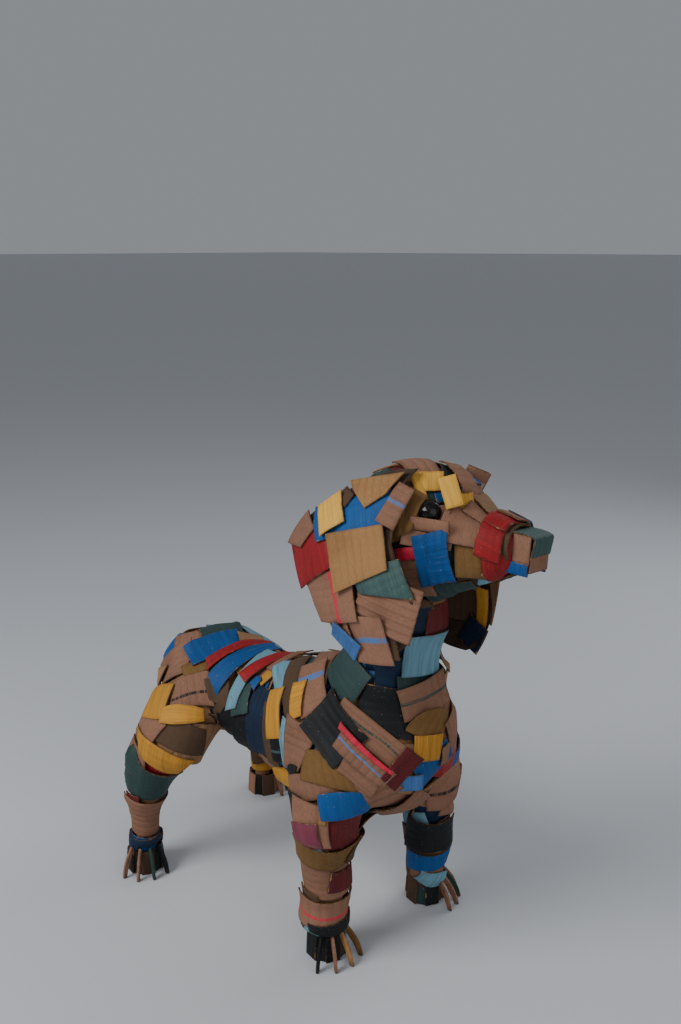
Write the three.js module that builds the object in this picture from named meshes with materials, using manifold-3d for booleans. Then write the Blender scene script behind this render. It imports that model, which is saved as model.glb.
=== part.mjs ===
// A standing hound about life size, built up from glued squares of corrugated cardboard.
// Millimetres. +X is the way the nose points, +Y the animal's left, +Z up, and the paws stand on z = 0.
// The body, head and legs are one glued form. The ears, eyes, nose, lower lip, brow flap and
// claws are pieces of their own, set against it with a glue gap.

import * as THREE from "three";
import { mergeVertices } from "three/addons/utils/BufferGeometryUtils.js";
import Module from "manifold-3d";

const wasm = await Module();
wasm.setup();

// ---- driving dimensions -------------------------------------------------------------------

const board = 3; // thickness of one sheet of corrugated board
const cuffStep = 1.6; // how far the free edge of a glued band stands proud of the next one
const glueGap = 0.3; // clearance between a separate piece and what it is glued to

const rumpEnd = -138; // rearmost point of the trunk
const chestEnd = 170; // foremost point of the breast
const backHeight = 214; // top of the rump
const withersHeight = 234;
const bellyHeight = 112; // lowest point of the ribs
const chestHalfWidth = 60;
const waistHalfWidth = 45;

const throatX = 158; // front of the neck
const neckHalfWidth = 29;

const headPivot = new THREE.Vector3(140, 0, 330); // where the head sits on the neck
const headRoll = -5; // degrees, the left side hangs a little lower
const crownHeight = 405;
const headHalfWidth = 42;
const muzzleEnd = 231; // open front rim of the muzzle
const muzzleTop = 378;
const muzzleRim = { halfWidth: 19.5, bottom: 344 };
const noseTip = 249;

const eyeRadius = 8.6;
const eyeAt = new THREE.Vector3(173, 30, 377.5); // left eye, the right one mirrors it

const pawHeight = 21; // where the last cuff of a leg ends
const clawsPerPaw = 4;

// Each leg runs down from the hip or shoulder through stations [x, y, z, half along, half across].
// The toes point at an angle from +X in degrees, spread by that much from claw to claw.
const legs = [
  {
    name: "front_right", side: -1, toes: -17.5, spread: 30, reach: 31.5, slant: -0.2, flare: 3,
    stations: [
      [98, 28, 198, 28, 21], [100, 42, 170, 32, 26], [102, 51, 144, 31, 27], [101, 55, 120, 26, 25],
      [100.5, 55, 93, 21, 21], [100, 55, 57, 18.6, 18.6], [100, 55, pawHeight, 18.4, 18.4],
    ],
  },
  {
    name: "front_left", side: 1, toes: 27, spread: 22, reach: 33, slant: -0.1, flare: 3,
    stations: [
      [102, 28, 198, 28, 21], [105, 42, 170, 32, 26], [110, 51, 140, 31, 27], [115, 55, 108, 26, 25],
      [117, 56, 80, 21.5, 21.5], [117, 56, 50, 18.6, 18.6], [116, 56, pawHeight, 17, 17],
    ],
  },
  {
    name: "hind_right", side: -1, toes: -37, spread: 32, reach: 28.5, slant: 0, flare: 4,
    stations: [
      [-72, 24, 192, 26, 17], [-71, 44, 174, 31, 20], [-69, 61, 156, 32, 22], [-75, 71, 134, 31, 22], [-92, 76, 111, 26, 20],
      [-99, 79, 90, 20, 18], [-100, 82, 66, 15, 15], [-104.5, 83, pawHeight, 12.6, 12.6],
    ],
  },
  {
    name: "hind_left", side: 1, toes: 46, spread: 29, reach: 28, slant: 0, flare: 4,
    stations: [
      [-74, 24, 190, 26, 17], [-75, 42, 172, 31, 20], [-77, 60, 153, 32, 22], [-87, 71, 132, 31, 22], [-106, 76, 111, 26, 20],
      [-120, 80, 90, 20, 18], [-126, 83, 62, 15, 15], [-121, 86, pawHeight, 12.8, 12.8],
    ],
  },
];

// ---- solids and geometry ------------------------------------------------------------------

function solidFrom(geometry) {
  const bare = geometry.clone();
  bare.deleteAttribute("normal");
  bare.deleteAttribute("uv");
  const merged = mergeVertices(bare, 1e-4);
  return new wasm.Manifold(
    new wasm.Mesh({
      numProp: 3,
      vertProperties: new Float32Array(merged.attributes.position.array),
      triVerts: new Uint32Array(merged.index.array),
    }),
  );
}

function geometryFrom(solid) {
  const mesh = solid.getMesh();
  const points = new Float32Array(mesh.numVert * 3);
  for (let i = 0; i < mesh.numVert; i++)
    for (let k = 0; k < 3; k++) points[3 * i + k] = mesh.vertProperties[mesh.numProp * i + k];
  const geometry = new THREE.BufferGeometry();
  geometry.setAttribute("position", new THREE.BufferAttribute(points, 3));
  geometry.setIndex(new THREE.BufferAttribute(new Uint32Array(mesh.triVerts), 1));
  geometry.computeVertexNormals();
  return geometry;
}

// A closed solid through rings that all have the same number of points, with flat ends.
function loft(rings) {
  const sides = rings[0].length;
  const points = rings.flat();
  const faces = [];
  for (let r = 0; r + 1 < rings.length; r++)
    for (let s = 0; s < sides; s++) {
      const a = r * sides + s;
      const b = r * sides + ((s + 1) % sides);
      faces.push(a, b, b + sides, a, b + sides, a + sides);
    }
  const ends = [
    [0, 1],
    [rings.length - 1, -1],
  ];
  for (const [r, turn] of ends) {
    const middle = points.length;
    points.push(rings[r].reduce((sum, p) => sum.add(p), new THREE.Vector3()).divideScalar(sides));
    for (let s = 0; s < sides; s++) {
      const a = r * sides + s;
      const b = r * sides + ((s + 1) % sides);
      faces.push(middle, ...(turn > 0 ? [b, a] : [a, b]));
    }
  }
  const geometry = new THREE.BufferGeometry().setFromPoints(points);
  geometry.setIndex(faces);
  const solid = solidFrom(geometry);
  if (solid.volume() > 0) return solid;
  for (let i = 0; i < faces.length; i += 3) [faces[i + 1], faces[i + 2]] = [faces[i + 2], faces[i + 1]];
  geometry.setIndex(faces);
  return solidFrom(geometry);
}

// A ring of points round a centre: an ellipse, squarer as the power rises above 2.
function ring(centre, side, up, halfSide, halfUp, sides, power) {
  return Array.from({ length: sides }, (_, i) => {
    const angle = (2 * Math.PI * (i + 0.5)) / sides;
    const [c, s] = [Math.cos(angle), Math.sin(angle)];
    const across = Math.sign(c) * Math.abs(c) ** (2 / power) * halfSide;
    const along = Math.sign(s) * Math.abs(s) ** (2 / power) * halfUp;
    return centre.clone().addScaledVector(side, across).addScaledVector(up, along);
  });
}

// A limb is a smooth line of stations, each { at: [x, y, z], half: [across, along] }, wrapped in
// overlapping bands of board. Each band's far edge stands a step proud, and its edge is cut askew.
function limb({ stations, bands = stations.length - 1, sides = 16, power = 2.2, step = cuffStep, skew = 0.12, endLean = 0 }) {
  const line = new THREE.CatmullRomCurve3(stations.map((s) => new THREE.Vector3(...s.at)));
  const size = new THREE.CatmullRomCurve3(stations.map((s) => new THREE.Vector3(...s.half, 0)));
  const level = new THREE.Vector3(0, 1, 0);
  const ringAt = (k, proud) => {
    const t = k / bands;
    const tangent = line.getTangent(t);
    const side = level.clone().addScaledVector(tangent, -level.dot(tangent)).normalize();
    const up = tangent.clone().cross(side);
    const half = size.getPoint(t);
    const inner = k > 0 && k < bands;
    const lean = inner ? skew * Math.sin(2.4 * k + stations.length) : k > 0 ? endLean : 0;
    const tip = up.clone().addScaledVector(tangent, lean);
    return ring(line.getPoint(t), side, tip, half.x + proud, half.y + proud, sides, power);
  };
  const rings = [];
  for (let k = 0; k < bands; k++) rings.push(ringAt(k, 0), ringAt(k + 1, step));
  return loft(rings);
}

// ---- the body -----------------------------------------------------------------------------

function trunk() {
  const station = (x, top, bottom, halfWidth) => ({
    at: [x, 0, (top + bottom) / 2],
    half: [halfWidth, (top - bottom) / 2],
  });
  return limb({
    stations: [
      station(rumpEnd, backHeight - 34, bellyHeight + 46, 10),
      station(rumpEnd + 3, backHeight - 21, bellyHeight + 30, 25),
      station(-129, backHeight - 9, bellyHeight + 16, 42),
      station(-105, backHeight - 2, bellyHeight + 6, 52),
      station(-70, backHeight, bellyHeight + 20, 49),
      station(-36, backHeight - 6, bellyHeight + 30, waistHalfWidth),
      station(2, backHeight - 3, bellyHeight + 10, chestHalfWidth - 10),
      station(42, backHeight + 10, bellyHeight, chestHalfWidth - 3),
      station(86, withersHeight, bellyHeight, chestHalfWidth + 1),
      station(124, withersHeight, bellyHeight + 10, chestHalfWidth - 1),
      station(149, withersHeight - 12, bellyHeight + 26, 47),
      station(163, withersHeight - 26, bellyHeight + 44, 30),
      station(chestEnd, withersHeight - 42, bellyHeight + 58, 12),
    ],
    sides: 22,
    skew: 0.1,
  });
}

function neck() {
  const depth = 32;
  return limb({
    stations: [
      { at: [headPivot.x - 4, 0, 352], half: [neckHalfWidth, depth] },
      { at: [throatX - depth, 0, 312], half: [neckHalfWidth, depth] },
      { at: [throatX - depth, 0, 268], half: [neckHalfWidth + 1, depth + 2] },
      { at: [throatX - depth - 6, 0, 232], half: [neckHalfWidth + 12, depth + 10] },
      { at: [112, 0, 196], half: [50, 46] },
    ],
    skew: 0.16,
  });
}

function leg({ side, stations, slant }) {
  return limb({
    stations: stations.map(([x, y, z, along, across]) => ({ at: [x, side * y, z], half: [across, along] })),
    endLean: slant,
  });
}

// The foot under the last cuff: a short flared collar that stands flat on the ground.
function pawCore({ side, stations, flare }) {
  const [x, y, , cuffRadius] = stations[stations.length - 1];
  const rings = [
    [pawHeight + 9, cuffRadius - 2],
    [pawHeight - 6, cuffRadius - 1],
    [0, cuffRadius + flare],
  ].map(([z, radius]) =>
    ring(
      new THREE.Vector3(x, side * y, z),
      new THREE.Vector3(0, 1, 0),
      new THREE.Vector3(1, 0, 0),
      radius,
      radius,
      16,
      2,
    ),
  );
  return loft(rings);
}

function tail() {
  return limb({
    stations: [
      { at: [rumpEnd + 24, 0, backHeight - 34], half: [15, 13] },
      { at: [rumpEnd - 4, 0, backHeight - 52], half: [12, 11] },
      { at: [rumpEnd - 12, 0, backHeight - 84], half: [9, 8] },
      { at: [rumpEnd - 10, 0, backHeight - 114], half: [6, 5] },
    ],
    sides: 10,
  });
}

// ---- the head -----------------------------------------------------------------------------

function skull(grow = 0) {
  const station = (x, top, bottom, halfWidth) => ({
    at: [x, 0, (top + bottom) / 2],
    half: [halfWidth + grow, (top - bottom) / 2 + grow],
  });
  return limb({
    stations: [
      station(84, crownHeight - 36, 356, 10),
      station(90, crownHeight - 23, 344, 24),
      station(100, crownHeight - 12, 332, 34),
      station(120, crownHeight - 2, 320, headHalfWidth - 1),
      station(144, crownHeight, 311, headHalfWidth),
      station(164, crownHeight - 4, 309, headHalfWidth - 4),
      station(178, crownHeight - 12, 314, 32),
    ],
    sides: 20,
    power: 2.3,
    step: 0.8,
    skew: 0,
  });
}

// The muzzle is a wrapped tube, open in front, so the nose block shows inside its rim.
function muzzle() {
  const station = (x, top, bottom, halfWidth) => ({
    at: [x, 0, (top + bottom) / 2],
    half: [halfWidth, (top - bottom) / 2],
  });
  const wrapped = limb({
    stations: [
      station(168, muzzleTop + 6, 314, 33),
      station(188, muzzleTop + 4, 323, 28),
      station(206, muzzleTop + 1, 333, 24),
      station(220, muzzleTop, 341, muzzleRim.halfWidth),
      station(muzzleEnd, muzzleTop - 1, muzzleRim.bottom, muzzleRim.halfWidth - 1),
    ],
    sides: 16,
    power: 2.5,
    skew: 0.08,
  });
  const wall = board + 0.5;
  const mouth = new THREE.BoxGeometry(24, 2 * (muzzleRim.halfWidth - wall), muzzleTop - muzzleRim.bottom - 2 * wall);
  mouth.translate(muzzleEnd, 0, (muzzleTop + muzzleRim.bottom) / 2 - 0.5);
  return wrapped.subtract(solidFrom(mouth));
}

function eyeBall(side, grow = 0) {
  const ball = new THREE.SphereGeometry(eyeRadius + grow, 18, 12);
  ball.translate(eyeAt.x, side * eyeAt.y, eyeAt.z);
  return solidFrom(ball);
}

// The nose block: a folded box in the open muzzle, whose capped front hangs down as an apron.
function nose() {
  const back = muzzleEnd - 9;
  const [top, under, apron] = [muzzleTop - 5.5, 358, 346];
  const outline = new THREE.Shape();
  outline.moveTo(back, under);
  outline.lineTo(noseTip - 8, under);
  outline.lineTo(noseTip - 8.5, apron);
  outline.lineTo(noseTip - 4.5, apron);
  outline.lineTo(noseTip, top - 3);
  outline.lineTo(noseTip - 3, top);
  outline.lineTo(back, top);
  const half = 12;
  const block = new THREE.ExtrudeGeometry(outline, { depth: 2 * half, bevelEnabled: false });
  block.rotateX(Math.PI / 2);
  block.translate(0, half, 0);
  return solidFrom(block);
}

// A tongue of board in the bottom of the muzzle.
function lowerLip() {
  const lip = new THREE.BoxGeometry(16, 20, board);
  lip.rotateY(0.08);
  lip.translate(muzzleEnd + 1.5, 0, muzzleRim.bottom + 2.5 * board);
  return solidFrom(lip);
}

// Two sheets of board glued face to face, standing proud over the left eye.
function browFlap() {
  const flap = new THREE.BoxGeometry(2 * board, 19, 19);
  flap.rotateY(THREE.MathUtils.degToRad(12));
  flap.rotateZ(THREE.MathUtils.degToRad(-38));
  flap.translate(170, 27, 396);
  return solidFrom(flap);
}

// One ear hangs as a curved leaf. Its front and rear edges run from the crown to the tip, and
// its face bellies outwards so the inside is hollow against the cheek and neck.
function ear(side) {
  const [across, down] = [9, 14];
  const curve = (values) => {
    const line = new THREE.CatmullRomCurve3(
      values.map((value, i) => new THREE.Vector3(i / (values.length - 1), value, 0)),
    );
    return (t) => line.getPoint(t).y;
  };
  const right = side < 0;
  const frontX = curve(right ? [160, 155, 156, 166, 184, 185, 176] : [160, 155, 156, 164, 176, 180, 176]);
  const rearX = curve([98, 66, 58, 62, 70, 84, 104]);
  const topZ = curve(right ? [372, 389, 399, 405, 407] : [370, 385, 394, 398, 398]);
  const tipZ = curve(right ? [285, 268, 261, 266, 284] : [280, 262, 253, 253, 264]);
  const hang = curve([34, 50, 57, 60, 60, 57, 52]);
  const belly = curve([-9, 0, 3, 2, -3]);
  const skin = (u, v, inward) => {
    const x = THREE.MathUtils.lerp(rearX(v), frontX(v), u);
    const z = THREE.MathUtils.lerp(topZ(u), tipZ(u), v);
    const y = hang(v) + belly(u) * (1 - 0.4 * v) - inward;
    return new THREE.Vector3(x, side * y, z);
  };
  const points = [];
  const faces = [];
  const row = across + 1;
  for (const inward of [0, 1.5 * board])
    for (let j = 0; j <= down; j++)
      for (let i = 0; i <= across; i++) points.push(skin(i / across, j / down, inward));
  const shell = row * (down + 1);
  for (let j = 0; j < down; j++)
    for (let i = 0; i < across; i++) {
      const a = j * row + i;
      const b = a + 1;
      faces.push(a, a + row, b + row, a, b + row, b);
      faces.push(shell + a, shell + b + row, shell + a + row, shell + a, shell + b, shell + b + row);
    }
  const edge = [];
  for (let i = 0; i < across; i++) edge.push(i);
  for (let j = 0; j < down; j++) edge.push(j * row + across);
  for (let i = across; i > 0; i--) edge.push(down * row + i);
  for (let j = down; j > 0; j--) edge.push(j * row);
  edge.forEach((a, n) => {
    const b = edge[(n + 1) % edge.length];
    faces.push(a, b, b + shell, a, b + shell, a + shell);
  });
  const geometry = new THREE.BufferGeometry().setFromPoints(points);
  if (side > 0)
    for (let i = 0; i < faces.length; i += 3) [faces[i + 1], faces[i + 2]] = [faces[i + 2], faces[i + 1]];
  geometry.setIndex(faces);
  return solidFrom(geometry);
}

// ---- claws --------------------------------------------------------------------------------

// A claw is an upright fin of board: a steep triangle from under the cuff to the ground, with its
// inner edge set against the flared paw.
function clawFin(angle, { side, stations, reach, flare, slant }) {
  const [x, y, , cuffRadius] = stations[stations.length - 1];
  const rim = (radius) => pawHeight - slant * radius * Math.cos(angle) - 6 * glueGap;
  const gap = 2 * glueGap;
  const outline = new THREE.Shape();
  outline.moveTo(cuffRadius + flare + gap, 0);
  outline.lineTo(reach, 0);
  outline.lineTo(reach - 1, 2.5);
  outline.lineTo(cuffRadius + 1.5, rim(cuffRadius + 1.5));
  outline.lineTo(cuffRadius - 1 + gap, rim(cuffRadius - 1 + gap));
  outline.lineTo(cuffRadius - 1 + gap, pawHeight - 6);
  const fin = new THREE.ExtrudeGeometry(outline, { depth: board, bevelEnabled: false });
  fin.translate(0, 0, -board / 2);
  fin.rotateX(Math.PI / 2);
  fin.rotateZ(angle);
  fin.translate(x, side * y, 0);
  return solidFrom(fin);
}

// ---- putting it together ------------------------------------------------------------------

const colours = {
  kraft: 0x9c7350,
  ochre: 0x8a6a35,
  black: 0x14171a,
  eye: 0x050505,
  green: 0x3f5a52,
  blue: 0x0b4a8c,
};

function piece(name, solid, colour, roughness = 0.85) {
  const material = new THREE.MeshStandardMaterial({ color: colour, roughness, metalness: 0 });
  const mesh = new THREE.Mesh(geometryFrom(solid), material);
  mesh.name = name;
  return mesh;
}

// Turns a solid about the head's pivot, as the whole head leans to one side.
function rolled(solid) {
  return solid
    .translate(-headPivot.x, -headPivot.y, -headPivot.z)
    .rotate(headRoll, 0, 0)
    .translate(headPivot.x, headPivot.y, headPivot.z);
}

const sockets = eyeBall(1, glueGap).add(eyeBall(-1, glueGap));
const head = skull().add(muzzle()).subtract(sockets);
const bodyParts = [trunk(), neck(), rolled(head), tail(), ...legs.map(leg), ...legs.map(pawCore)];
const dogBody = wasm.Manifold.union(bodyParts);

// A piece glued against the body is cut back where the body would bite into it.
const clearOf = (solid, others) => others.reduce((left, other) => left.subtract(other), solid);

const root = new THREE.Group();
root.add(piece("body", dogBody, colours.kraft));
for (const [name, side] of [["left", 1], ["right", -1]]) {
  root.add(piece("eye_" + name, rolled(eyeBall(side)), colours.eye, 0.08));
  root.add(piece("ear_" + name, rolled(ear(side)), colours.kraft));
}
root.add(piece("nose", rolled(nose()), colours.green));
root.add(piece("lower_lip", rolled(lowerLip()), colours.blue, 0.5));
root.add(piece("brow_flap_left", rolled(clearOf(browFlap(), [skull(glueGap), eyeBall(1, glueGap)])), colours.kraft));

for (const each of legs)
  for (let n = 0; n < clawsPerPaw; n++) {
    const turn = each.toes + (n - (clawsPerPaw - 1) / 2) * each.spread;
    const fin = clawFin(THREE.MathUtils.degToRad(turn), each);
    root.add(piece(`claw_${each.name}_${n + 1}`, fin, colours.ochre));
  }

// The origin is the middle of the object's box, on the ground.
const box = new THREE.Box3().setFromObject(root);
const middle = box.getCenter(new THREE.Vector3());
root.position.set(-middle.x, -middle.y, 0);

export default root;
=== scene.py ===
"""A standing hound built up from glued squares of corrugated board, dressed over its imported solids.

Lengths are millimetres unless a name ends in _m. Places are given in the figure's own frame:
+X to the nose, +Y to its left, +Z up, from the point on the ground between its four paws.
"""

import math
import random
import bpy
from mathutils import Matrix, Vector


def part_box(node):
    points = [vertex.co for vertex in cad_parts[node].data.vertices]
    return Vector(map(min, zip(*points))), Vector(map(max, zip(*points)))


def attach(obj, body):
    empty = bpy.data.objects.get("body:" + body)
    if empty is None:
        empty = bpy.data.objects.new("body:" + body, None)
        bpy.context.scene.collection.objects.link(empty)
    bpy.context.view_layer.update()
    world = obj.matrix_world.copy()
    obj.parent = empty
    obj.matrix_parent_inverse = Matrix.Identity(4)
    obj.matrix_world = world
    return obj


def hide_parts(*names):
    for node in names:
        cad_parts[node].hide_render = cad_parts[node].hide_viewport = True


bl_info = {
    "name": "Cardboard Hound",
    "version": (1, 0, 0),
    "blender": (4, 5, 0),
    "location": "View3D > Sidebar > Hound",
    "description": "Covers the hound's solids with overlapping pieces of painted corrugated board",
    "category": "Object",
}

import bmesh
import bpy
import numpy as np
from bpy.props import FloatProperty, FloatVectorProperty, IntProperty, PointerProperty
from mathutils import Matrix, Vector
from mathutils.bvhtree import BVHTree

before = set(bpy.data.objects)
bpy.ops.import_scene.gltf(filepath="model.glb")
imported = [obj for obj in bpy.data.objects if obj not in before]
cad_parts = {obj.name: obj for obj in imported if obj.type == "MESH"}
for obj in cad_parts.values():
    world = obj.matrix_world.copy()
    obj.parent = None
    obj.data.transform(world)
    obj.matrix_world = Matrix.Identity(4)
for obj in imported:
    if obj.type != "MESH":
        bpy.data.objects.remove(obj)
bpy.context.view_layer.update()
MM = 0.001

# ---- places ----

HEAD_PIVOT = Vector((140, 0, 330))
HEAD_ROLL = math.radians(-5)
EYE_RADIUS = 8.6
EYE_RIGHT = Vector((173, -30, 377.5))


def with_head_roll(point):
    """A point given on a level head, where the head's lean to the left puts it."""
    return HEAD_PIVOT + Matrix.Rotation(HEAD_ROLL, 3, "X") @ (Vector(point) - HEAD_PIVOT)


def with_head_level(point):
    """The reverse: a point of the figure, as it would be on a level head."""
    return HEAD_PIVOT + Matrix.Rotation(-HEAD_ROLL, 3, "X") @ (Vector(point) - HEAD_PIVOT)


def middle(node):
    low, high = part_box(node)
    return (low + high) / 2


# The frame's origin is the middle of the solids' box, and this is the figure's own origin in it.
ORIGIN_M = middle("eye_right") - with_head_roll(EYE_RIGHT) * MM
ORIGIN_M.z = 0


def to_frame(point):
    return Vector(point) * MM + ORIGIN_M


def to_figure(point_m):
    return (Vector(point_m) - ORIGIN_M) / MM


def head_way(x, y, z):
    """A direction given on a level head, as the head's lean turns it."""
    return with_head_roll(HEAD_PIVOT + Vector((x, y, z))) - HEAD_PIVOT


def linked(name, data):
    """A new object of that mesh, light or camera, in the scene."""
    obj = bpy.data.objects.new(name, data)
    bpy.context.scene.collection.objects.link(obj)
    return obj


def placed_mesh(name, corners, faces):
    """A mesh from corners in figure millimetres."""
    mesh = bpy.data.meshes.new(name)
    mesh.from_pydata([to_frame(c) for c in corners], [], faces)
    return mesh


# The middle lines of the legs, from the trunk down to the paws.
LEG_LINES = {
    "front_right": [(100, -42, 170), (101, -55, 120), (100, -55, 21)],
    "front_left": [(105, 42, 170), (115, 55, 108), (116, 56, 21)],
    "hind_right": [(-71, -44, 174), (-75, -71, 134), (-92, -76, 111), (-100, -82, 66), (-104.5, -83, 21)],
    "hind_left": [(-75, 42, 172), (-87, 71, 132), (-106, 76, 111), (-126, 83, 62), (-121, 86, 21)],
}


def sizes():
    """The sizes that the panel shows."""
    return bpy.context.scene.hound_sizes


def srgb(code):
    """A linear colour from a six-digit sRGB code."""
    values = [int(code[i : i + 2], 16) / 255 for i in (0, 2, 4)]
    return tuple(v / 12.92 if v <= 0.04045 else ((v + 0.055) / 1.055) ** 2.4 for v in values)


# ---- settings a user would change ----


def paint(name, code, description):
    return FloatVectorProperty(
        name=name, description=description, subtype="COLOR", size=3, min=0, max=1, default=srgb(code)
    )


class HoundSizes(bpy.types.PropertyGroup):
    """Sizes of the board and of the pieces cut from it."""

    board: FloatProperty(
        name="Board", description="Thickness of one glued piece", default=1.35 * MM, unit="LENGTH"
    )
    flute: FloatProperty(
        name="Flute pitch", description="Distance between two flutes", default=6.3 * MM, unit="LENGTH"
    )
    square: FloatProperty(
        name="Square", description="Usual side of a cut piece", default=38 * MM, unit="LENGTH"
    )
    bed: FloatProperty(
        name="Bed", description="How far below the skin the first pieces lie",
        default=3.2 * MM, unit="LENGTH",
    )
    claw: FloatProperty(
        name="Claw board", description="Thickness of a claw", default=2.3 * MM, unit="LENGTH"
    )
    seed: IntProperty(name="Seed", description="Seed of everything that varies", default=11)


class HoundColours(bpy.types.PropertyGroup):
    """Colours of the bare board and of the paints."""

    kraft: paint("Kraft", "a07a58", "Bare board")
    rose: paint("Rose kraft", "936b56", "Bare board of a pinker make")
    tan: paint("Tan", "a87e50", "Bare pale board")
    ochre: paint("Ochre", "7c5c34", "Board washed with ochre")
    umber: paint("Umber", "544030", "Dark bare board")
    red: paint("Red", "8e151a", "Bright red paint")
    wine: paint("Dark red", "5e1517", "Dark red paint")
    blue: paint("Blue", "044e8c", "Bright blue paint")
    navy: paint("Navy", "04203a", "Dark blue paint")
    cornflower: paint("Cornflower", "4374b0", "Soft mid blue paint")
    sky: paint("Pale blue", "6c99aa", "Pale blue paint")
    yellow: paint("Pale yellow", "dda845", "Pale yellow paint")
    gold: paint("Deep yellow", "bf862a", "Deep yellow paint")
    green: paint("Dark green", "2a4340", "Dark green paint")
    sage: paint("Grey-green", "3c5855", "Grey-green paint")
    black: paint("Black", "0b1012", "Black paint")
    pink: paint("Pink", "c4243e", "Crimson pink paint")
    plum: paint("Plum", "80384a", "Rose board washed with crimson")
    pale: paint("Pale", "b3a696", "Worn pale print")


# ---- the surface that boards are laid on ----

SKIN_CELL = 3.0
SKIN_ROUNDS = 6


def cad_arrays(node):
    """A CAD node's corners in figure millimetres, and its faces, with doubles merged."""
    bm = bmesh.new()
    bm.from_mesh(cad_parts[node].data)
    bmesh.ops.remove_doubles(bm, verts=bm.verts, dist=1e-6)
    bm.verts.index_update()
    corners = [to_figure(v.co) for v in bm.verts]
    faces = [tuple(v.index for v in f.verts) for f in bm.faces]
    bm.free()
    return corners, faces


def remeshed(corners, faces):
    """One closed even mesh round all the given shells, smoothed, as corners and faces."""
    mesh = bpy.data.meshes.new("shells")
    mesh.from_pydata([Vector(c) * MM for c in corners], [], faces)
    obj = linked("shells", mesh)
    even = obj.modifiers.new("even", "REMESH")
    even.mode = "VOXEL"
    even.voxel_size = SKIN_CELL * MM
    soft = obj.modifiers.new("soft", "SMOOTH")
    soft.iterations = SKIN_ROUNDS
    soft.factor = 0.5
    result = bpy.data.meshes.new_from_object(obj.evaluated_get(bpy.context.evaluated_depsgraph_get()))
    corners = [v.co / MM for v in result.vertices]
    faces = [tuple(p.vertices) for p in result.polygons]
    bpy.data.objects.remove(obj)
    bpy.data.meshes.remove(mesh)
    bpy.data.meshes.remove(result)
    return corners, faces


def ball(centre, radius, rings, sides):
    """A closed ball as corners and faces."""
    centre = Vector(centre)
    corners = [centre + Vector((0, 0, radius)), centre - Vector((0, 0, radius))]
    for i in range(1, rings):
        polar = math.pi * i / rings
        for j in range(sides):
            turn = 2 * math.pi * j / sides
            around = Vector((math.cos(turn), math.sin(turn), 0)) * math.sin(polar)
            corners.append(centre + radius * (around + Vector((0, 0, math.cos(polar)))))
    faces = []
    for j in range(sides):
        k = (j + 1) % sides
        faces.append((0, 2 + j, 2 + k))
        last = 2 + (rings - 2) * sides
        faces.append((1, last + k, last + j))
        for i in range(rings - 2):
            row = 2 + i * sides
            faces.append((row + j, row + sides + j, row + sides + k, row + k))
    return corners, faces


def tube(start, end, size_start, size_end):
    """A closed four-sided plug between two points on the head's middle line."""
    corners = []
    for (x, y, z), (half_width, half_height) in ((start, size_start), (end, size_end)):
        for side, up in ((-1, -1), (1, -1), (1, 1), (-1, 1)):
            corners.append(with_head_roll((x, y + side * half_width, z + up * half_height)))
    faces = [(0, 3, 2, 1), (4, 5, 6, 7)]
    faces += [(i, (i + 1) % 4, (i + 1) % 4 + 4, i + 4) for i in range(4)]
    return corners, faces


def joined(*shells):
    corners, faces = [], []
    for more_corners, more_faces in shells:
        faces += [tuple(i + len(corners) for i in face) for face in more_faces]
        corners += list(more_corners)
    return corners, faces


class Skin:
    """A closed mesh that boards follow."""

    def __init__(self, corners, faces):
        self.corners = corners
        self.grid = np.array(corners)
        self.covered = np.zeros(len(corners), bool)
        self.faces = faces
        self.tree = BVHTree.FromPolygons([Vector(c) for c in corners], faces)

    def nearest(self, point):
        place, normal, _, _ = self.tree.find_nearest(point)
        return place, normal

    def cover(self, local, points, width, height, margin=2.5, near=3.6):
        """Marks the corners that a board with these walked points hides."""
        inner = np.abs(local) < np.array([width, height]) / 2 - margin
        points = points[inner.all(axis=1)]
        if not len(points):
            return
        middle = points.mean(axis=0)
        span = np.linalg.norm(points - middle, axis=1).max() + near
        nearby = np.flatnonzero(np.linalg.norm(self.grid - middle, axis=1) < span)
        gaps = np.linalg.norm(self.grid[nearby][:, None] - points[None], axis=2)
        self.covered[nearby[gaps.min(axis=1) < near]] = True

    def along(self, start, heading):
        """Where a line from inside comes out, or None."""
        place, normal, _, _ = self.tree.ray_cast(Vector(start), Vector(heading).normalized())
        return place, normal


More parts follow.
